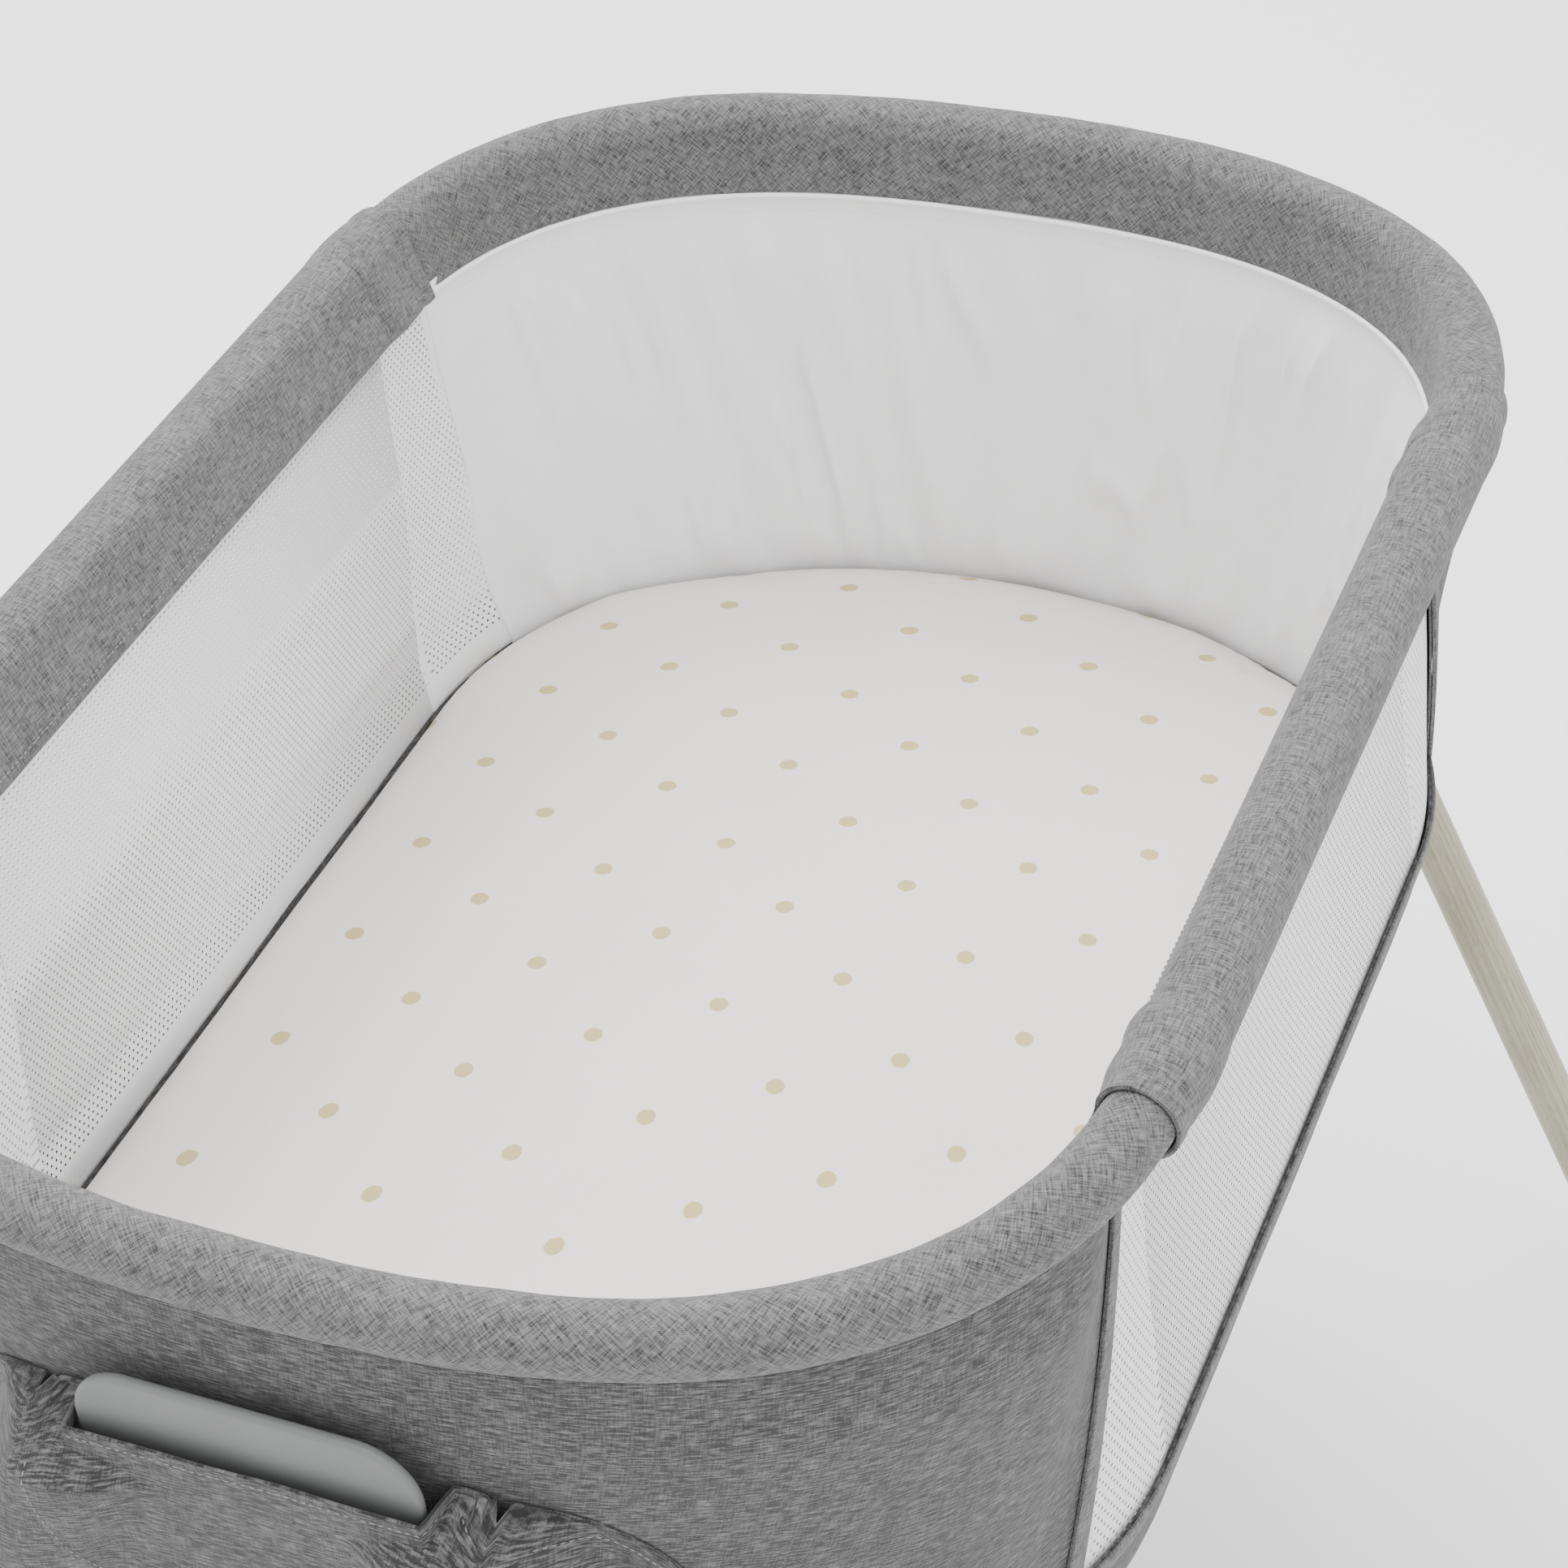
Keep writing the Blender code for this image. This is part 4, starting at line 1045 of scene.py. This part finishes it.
class BASSINET_OT_leg_pockets(bpy.types.Operator):
    """Makes the cloth pocket over each leg crown, with the flap that the release handle looks out of"""

    bl_idname = "bassinet.leg_pockets"
    bl_label = "Leg pockets"

    def execute(self, context):
        for end, word in ENDS:
            work = grid(lambda t, c: self.point(end, t, c), 84, 250)
            outward(work, lambda point: Vector((0, end, 0)))
            piece = finish(f"pocket_{word}", work, material("slub"), "base",
                           [f"leg_pocket_{word}"],
                           recalc=False, sharp=180)
            thicken(piece, 0.0013, -1.0)
            fold_with_walls(piece)
            self.seams(end, word, context.scene.bassinet_sizes)
        return {"FINISHED"}

    def point(self, end, t, c):
        """t runs up and c from left to right, as seen from outside the near end."""
        foot = leg_x(POCKET_FOOT_Z) + 0.045
        reach = 0.152 + (foot - 0.152) * (1 - smooth(0.0, 0.5, t))
        x = reach * (2 * c - 1)
        top = pocket_top(x * 0.152 / reach)
        return pocket_point(end, x, POCKET_FOOT_Z + (top - POCKET_FOOT_Z) * t)

    def seams(self, end, word, sizes):
        lines = {"top": [(x, pocket_top(x) - 0.0042) for x in np.linspace(-0.078, 0.088, 130)]}
        for side, side_word in SIDES:
            lines[f"flap_{side_word}"] = [
                (side * (flap_edge(side, z) - 0.0036), z)
                for z in np.linspace(0.578, FLAP_CORNER_Z - 0.004, 80)]
            lines[f"shoulder_{side_word}"] = [
                (side * x, dome_top(x) - 0.0062) for x in np.linspace(FLAP_CORNERS[side] + 0.010, 0.1505, 60)]
        for tag, spots in lines.items():
            points = [pocket_point(end, x, z, 0.0001) for x, z in spots]
            normals = [Vector((0, end, 0.3))] * len(points)
            row = stitches(f"pocket_stitches_{word}_{tag}", points, normals, material("thread"), "base",
                           sizes.stitch, 0.0003)
            fold_with_walls(row)


# ---------------------------------------------------------------- mattress and base


class BASSINET_OT_mattress(bpy.types.Operator):
    """Makes the mattress in its fitted sheet, filled and settled as cloth under slight pressure"""

    bl_idname = "bassinet.mattress"
    bl_label = "Mattress and fitted sheet"

    def execute(self, context):
        levels = (
            (0.2440, 0.3710, 0.4645), (0.2520, 0.3750, 0.4665), (0.2562, 0.3778, 0.4710),
            (0.2566, 0.3782, 0.4800), (0.2565, 0.3781, 0.4840), (0.2556, 0.3773, 0.4862),
            (0.2532, 0.3750, 0.4876),
            (0.2470, 0.3694, 0.4884),
        )
        rows = []
        for width, tip, z in levels:
            oval = base_oval(width, tip)
            rows.append([(p.x, p.y, z) for p in ring_points(oval, 220)])
        # The top closes in rings that shrink to a small one at the middle.
        brow = rows[-1]
        rows += [[(x * share, y * share, z) for x, y, z in brow]
                 for share in np.linspace(0.94, 0.04, 24).tolist()]
        work = loft(rows, distances([(r[0][0], r[0][2]) for r in rows]), distances([*rows[3], rows[3][0]]),
                    ring=True)
        close_ends(work)
        piece = finish("fitted_sheet_cover", work, material("sheet"), "base",
                       ["fitted_sheet", "mattress_core"], sharp=180)
        for vert in piece.data.vertices:
            x, y, z = vert.co
            if z > 0.484:
                middle = 1 - min((abs(x) / 0.2562) ** 2.2 + (abs(y) / 0.378) ** 2.6, 1.0)
                vert.co.z = z + 0.0030 * middle**0.5 + 0.0005 * ripple(x * 12, y * 12, 1.0)
        settle(piece, 0.0045, 0.0035)
        print_map(piece)
        return {"FINISHED"}


def ring_points(oval, count):
    """Evenly spaced points once round an oval."""
    dense = [end_at(oval, FAR, a)[0] for a in np.linspace(0, pi, 400)]
    dense += [end_at(oval, NEAR, a)[0] for a in np.linspace(pi, 0, 400)]
    dense.append(dense[0])
    run = distances(dense)
    line = np.array([tuple(p) for p in dense])
    spots = np.linspace(0, run[-1], count + 1)[:-1]
    return [Vector((float(np.interp(s, run, line[:, 0])), float(np.interp(s, run, line[:, 1]))))
            for s in spots]


def settle(piece, voxel, cap):
    """Fills the piece with slight pressure as cloth, for 20 frames; no point moves further than cap."""
    piece.data.remesh_voxel_size = voxel
    context = bpy.context
    for other in context.view_layer.objects:
        other.select_set(other == piece)
    context.view_layer.objects.active = piece
    bpy.ops.object.voxel_remesh()
    start = np.zeros(len(piece.data.vertices) * 3, np.float32)
    piece.data.vertices.foreach_get("co", start)
    cloth = piece.modifiers.new("Fill", "CLOTH")
    cloth.settings.quality = 4
    cloth.settings.mass = 0.3
    cloth.settings.use_pressure = True
    cloth.settings.uniform_pressure_force = 3.0
    cloth.settings.effector_weights.gravity = 0
    cloth.settings.tension_stiffness = 40
    cloth.settings.compression_stiffness = 40
    cloth.settings.bending_stiffness = 4
    scene = context.scene
    for step in range(1, 21):
        scene.frame_set(step)
    bpy.ops.object.modifier_apply(modifier=cloth.name)
    scene.frame_set(1)
    moved = np.zeros_like(start)
    piece.data.vertices.foreach_get("co", moved)
    shift = (moved - start).reshape(-1, 3)
    length = np.linalg.norm(shift, axis=1)
    shift *= (np.minimum(length, cap) / np.maximum(length, 1e-9))[:, None]
    shift[start.reshape(-1, 3)[:, 2] < 0.470] *= 0.1
    place = start.reshape(-1, 3) + shift
    place[:, 2] = np.maximum(place[:, 2], 0.4640)
    piece.data.vertices.foreach_set("co", place.astype(np.float32).ravel())
    piece.data.update()
    piece.data.shade_smooth()


def print_map(piece):
    """Where the print lies: columns on U and rows on V, drawn along by the stretch of the sheet."""
    layer = piece.data.uv_layers.new(name="Print")
    for loop in piece.data.loops:
        x, y, _ = piece.data.vertices[loop.vertex_index].co
        column = 4.46 + 21.3 * x - 0.45 * y - 3.8 * x * y - 5.6 * y * abs(y)
        row = 3.80 + 0.96 * x + 13.0 * y + 6.0 * x * x - 2.6 * x * y + 6.7 * y * y
        layer.data[loop.index].uv = (column, row)


class BASSINET_OT_base_cover(bpy.types.Operator):
    """Makes the grey cloth round the base and the corded edge where the walls meet it"""

    bl_idname = "bassinet.base_cover"
    bl_label = "Base cover"

    def execute(self, context):
        levels = (
            (0.2640, 0.3980, 0.5150), (0.2632, 0.3974, 0.5080), (0.2616, 0.3962, 0.4980),
            (0.2596, 0.3946, 0.4860), (0.2560, 0.3925, 0.4740), (0.2510, 0.3900, 0.4640),
            (0.2440, 0.3870, 0.4560), (0.2350, 0.3810, 0.4500), (0.2240, 0.3720, 0.4466),
            (0.2140, 0.3620, 0.4460),
        )
        rows = []
        for width, tip, z in levels:
            row = []
            for p in ring_points(base_oval(width, tip), 260):
                slack = 1 + 0.0016 * ripple(p.x * 22, p.y * 22, z * 30) * smooth(0.446, 0.470, z)
                row.append((p.x * slack, p.y * slack, z))
            rows.append(row)
        work = loft(rows, distances([(r[0][0], r[0][2]) for r in rows]), distances([*rows[0], rows[0][0]]),
                    ring=True)
        low = [e for e in work.edges if e.is_boundary and all(v.co.z < 0.4462 for v in e.verts)]
        bmesh.ops.holes_fill(work, edges=low, sides=0)
        cap = [f for f in work.faces if len(f.verts) > 4]
        grain = work.loops.layers.uv["Grain"]
        for loop in cap[0].loops:
            loop[grain].uv = (loop.vert.co.x, loop.vert.co.y)
        outward(work, lambda point: from_middle(point) + Vector((0, 0, -0.05)))
        piece = finish("base_cover", work, material("slub"), "base", ["lower_shell"], recalc=False,
                       sharp=180)
        thicken(piece, 0.0012, -1.0)
        self.cord_edge()
        return {"FINISHED"}

    def cord_edge(self):
        """A folded binding, 10 mm high, round the base's top edge."""
        line = ring_points(base_oval(0.2644, 0.3984), 300)
        rows = []
        for i, p in enumerate(line):
            along = (line[(i + 1) % len(line)] - line[i - 1]).normalized()
            out = Vector((along.y, -along.x))
            turns = [2 * pi * j / 20 for j in range(20)]
            rows.append([(*(p + out * (0.0012 * cos(a) + 0.0007 * sin(a))), 0.5114 + 0.0052 * sin(a))
                         for a in turns])
        rows.append(rows[0])
        work = loft(rows, distances([*line, line[0]]), [0.0011 * j for j in range(21)], ring=True)
        bmesh.ops.remove_doubles(work, verts=work.verts, dist=0.00005)
        piece = finish("base_binding", work, material("straight"), "base", sharp=180)
        length = distances([*line, line[0]])[-1]


# ---------------------------------------------------------------- legs and handles


def leg_point(end, side, z):
    return Vector((side * leg_x(z), end * LEG_V, z))


def turned_rows(top, foot, profile, count):
    """Rings round the line from top to foot; profile is (distance from the top, radius)."""
    axis = (foot - top).normalized()
    first = axis.cross(Vector((0, 1, 0))).normalized()
    second = axis.cross(first)
    rows = []
    for at, radius in profile:
        centre = top + axis * at
        rows.append([centre + radius * (cos(a) * first + sin(a) * second)
                     for a in (2 * pi * j / count for j in range(count))])
    return rows


class BASSINET_OT_legs(bpy.types.Operator):
    """Makes the whitewashed legs and their rubber shoes"""

    bl_idname = "bassinet.legs"
    bl_label = "Legs and shoes"

    def execute(self, context):
        radius = context.scene.bassinet_sizes.leg_radius
        count = 56
        for end, word in ENDS:
            for side, tag in SIDES:
                top, foot = leg_point(end, side, 0.632), leg_point(end, side, LEG_FOOT_Z + 0.001)
                length = (foot - top).length
                profile = [(0.0, radius - 0.0012), (0.0003, radius - 0.0005), (0.0012, radius)]
                profile += [(length * i / 60, radius) for i in range(1, 60)]
                profile += [(length - 0.0010, radius), (length, radius - 0.0010)]
                rows = turned_rows(top, foot, profile, count)
                around = [2 * pi * radius * j / count + (0.2 if end > 0 else 0.0) + 0.09 * side
                          for j in range(count + 1)]
                work = loft(rows, [at for at, _ in profile], around, ring=True)
                close_ends(work)
                finish(f"leg_{word}_{tag}", work, material("wood"), f"legs_{word}",
                       [f"leg_tube_{word}_{tag}"], sharp=50)
                self.shoe(end, word, side, tag, radius)
        return {"FINISHED"}

    def shoe(self, end, word, side, tag, radius):
        top, foot = leg_point(end, side, FOOT_TOP_Z), leg_point(end, side, -0.012)
        outer = 0.0155
        profile = [(-0.0002, radius + 0.0002), (-0.0004, outer - 0.0010), (0.0004, outer - 0.0002),
                   (0.0014, outer)]
        for groove in (0.006, 0.0095, 0.013):
            profile += [(groove, outer), (groove + 0.0004, outer - 0.0006), (groove + 0.0012, outer - 0.0006),
                        (groove + 0.0016, outer)]
        profile += [(0.030, outer), ((foot - top).length, outer)]
        rows = turned_rows(top, foot, profile, 48)
        work = loft(rows, [at + 0.001 for at, _ in profile], [0.002 * j for j in range(49)], ring=True)
        everything = work.verts[:] + work.edges[:] + work.faces[:]
        bmesh.ops.bisect_plane(
            work, geom=everything, plane_co=(0, 0, 0), plane_no=(0, 0, -1), clear_outer=True)
        close_ends(work)
        rim = [e for e in work.edges if all(abs(v.co.z) < 1e-6 for v in e.verts)]
        bmesh.ops.bevel(work, geom=rim, offset=0.0008, segments=2, profile=0.5, affect="EDGES", material=-1)
        finish(f"shoe_{word}_{tag}", work, material("rubber"), f"legs_{word}",
               [f"foot_cap_{word}_{tag}"], sharp=50)


class BASSINET_OT_release_handles(bpy.types.Operator):
    """Makes the moulded release handle of each leg set"""

    bl_idname = "bassinet.release_handles"
    bl_label = "Release handles"

    def execute(self, context):
        low_v, high_v = 0.4135, 0.4185
        half, low, top, corner = 0.0695, 0.634, RIM_Z - 0.047, 0.024
        for end, word in ENDS:
            work = bmesh.new()
            outline = [(-half, low), (half, low)]
            for sign, turns in ((1, range(0, 15)), (-1, range(14, -1, -1))):
                for i in turns:
                    a = pi / 2 * i / 14
                    outline.append((sign * (half - corner + corner * cos(a)), top - corner + corner * sin(a)))
            face = work.faces.new([work.verts.new((x, end * low_v, z)) for x, z in outline])
            grown = bmesh.ops.extrude_face_region(work, geom=[face])["geom"]
            moved = [item for item in grown if isinstance(item, bmesh.types.BMVert)]
            bmesh.ops.translate(work, verts=moved, vec=(0, end * (high_v - low_v), 0))
            bmesh.ops.recalc_face_normals(work, faces=work.faces)
            rims = [e for e in work.edges if abs(e.verts[0].co.y - e.verts[1].co.y) < 1e-6]
            bmesh.ops.bevel(
                work, geom=rims, offset=0.0021, segments=5, profile=0.5, affect="EDGES", material=-1)
            finish(f"handle_plate_{word}", work, material("moulding"), f"handle_{word}",
                   [f"release_handle_{word}"], sharp=50)
        return {"FINISHED"}


class BASSINET_OT_hardware(bpy.types.Operator):
    """Gives the frame's tubes, links, pins, mounts and boards their finishes"""

    bl_idname = "bassinet.hardware"
    bl_label = "Hardware finishes"

    def execute(self, context):
        slots = {part["node"]: part["material_slot"] for part in frame["record"]["subparts"]}
        finishes = {"steel": "steel", "nylon": "nylon", "moulding": "moulding", "board": "board",
                    "foam": "foam", "rubber": "rubber"}
        for name, node in frame["nodes"].items():
            if node.hide_render:
                continue
            for held in node.material_slots:
                held.material = material(finishes[slots[name]])
        return {"FINISHED"}


# ---------------------------------------------------------------- stage


class BASSINET_OT_stage(bpy.types.Operator):
    """Sets the pale floor, the soft studio lights and the camera"""

    bl_idname = "bassinet.stage"
    bl_label = "Stage, lights and camera"

    def execute(self, context):
        self.floor(context)
        self.lights(context)
        self.camera(context)
        return {"FINISHED"}

    def floor(self, context):
        made, tree, shader = start_material("Studio paper, matt white", 0.95)
        place = add(tree, "ShaderNodeTexCoord")
        fibre = add(tree, "ShaderNodeTexNoise",
                    {"Vector": place.outputs["Object"], "Scale": 3.0, "Detail": 2.0})
        tone = add(tree, "ShaderNodeMapRange",
                   {"Value": fibre.outputs[0], "From Min": 0.3, "From Max": 0.7,
                     "To Min": 0.93, "To Max": 0.95})
        tree.links.new(tone.outputs[0], shader.inputs["Base Color"])
        work = bmesh.new()
        bmesh.ops.create_grid(work, x_segments=1, y_segments=1, size=12)
        mesh = bpy.data.meshes.new("floor")
        work.to_mesh(mesh)
        work.free()
        mesh.materials.append(made)
        floor = bpy.data.objects.new("floor", mesh)
        context.scene.collection.objects.link(floor)

    def lights(self, context):
        world = bpy.data.worlds.new("Studio")
        world.use_nodes = True
        back = world.node_tree.nodes["Background"]
        back.inputs[0].default_value = (1.0, 1.0, 1.0, 1.0)
        back.inputs[1].default_value = 1.6
        context.scene.world = world
        for name, place, aim, size, power in (
            ("key", (-1.6, 1.4, 3.4), (0, 0, 0.5), 2.2, 130),
            ("fill", (2.6, -1.6, 2.6), (0, 0, 0.5), 2.6, 30),
            ("top", (0.0, 0.2, 3.8), (0, 0, 0.5), 3.0, 110),
        ):
            light = bpy.data.lights.new(name, "AREA")
            light.shape = "DISK"
            light.size = size
            light.energy = power
            lamp = bpy.data.objects.new(name, light)
            lamp.location = place
            lamp.rotation_euler = (Vector(aim) - Vector(place)).to_track_quat("-Z", "Y").to_euler()
            context.scene.collection.objects.link(lamp)

    def camera(self, context):
        data = bpy.data.cameras.new("camera")
        data.sensor_width = 36
        data.lens = 84.39
        data.clip_start, data.clip_end = 0.05, 60
        camera = bpy.data.objects.new("camera", data)
        azimuth, elevation, roll = radians(25.9022), radians(39.3584), radians(-5.6285)
        back = Vector((sin(azimuth) * cos(elevation), -cos(azimuth) * cos(elevation), sin(elevation)))
        level = (-back).cross(Vector((0, 0, 1))).normalized()
        tall = level.cross(-back)
        right = cos(roll) * level + sin(roll) * tall
        up = -sin(roll) * level + cos(roll) * tall
        turn = Matrix((right, up, back)).transposed().to_4x4()
        camera.matrix_world = Matrix.Translation((0.56394, -1.09656, 1.65376)) @ turn
        context.scene.collection.objects.link(camera)
        context.scene.camera = camera


class BASSINET_PT_panel(bpy.types.Panel):
    """Lists the sizes, the colours and the steps that build the looks"""

    bl_idname = "BASSINET_PT_panel"
    bl_label = "Bassinet"
    bl_space_type = "VIEW_3D"
    bl_region_type = "UI"
    bl_category = "Bassinet"

    def draw(self, context):
        for group in (context.scene.bassinet_sizes, context.scene.bassinet_colours):
            for name in group.__annotations__:
                self.layout.prop(group, name)
        for step in STEPS:
            self.layout.operator(step.bl_idname)


STEPS = (
    BASSINET_OT_stage,
    BASSINET_OT_rail_sleeves,
    BASSINET_OT_arc_covers,
    BASSINET_OT_liners,
    BASSINET_OT_mesh_walls,
    BASSINET_OT_end_panels,
    BASSINET_OT_leg_pockets,
    BASSINET_OT_mattress,
    BASSINET_OT_base_cover,
    BASSINET_OT_legs,
    BASSINET_OT_release_handles,
    BASSINET_OT_hardware,
)
CLASSES = (BassinetSizes, BassinetColours, *STEPS, BASSINET_PT_panel)


def register():
    for made in CLASSES:
        bpy.utils.register_class(made)
    bpy.types.Scene.bassinet_sizes = PointerProperty(type=BassinetSizes)
    bpy.types.Scene.bassinet_colours = PointerProperty(type=BassinetColours)


def unregister():
    del bpy.types.Scene.bassinet_sizes
    del bpy.types.Scene.bassinet_colours
    for made in reversed(CLASSES):
        bpy.utils.unregister_class(made)


def main():
    register()
    for step in STEPS:
        group, name = step.bl_idname.split(".")
        getattr(getattr(bpy.ops, group), name)()


if __name__ == "__main__":
    main()
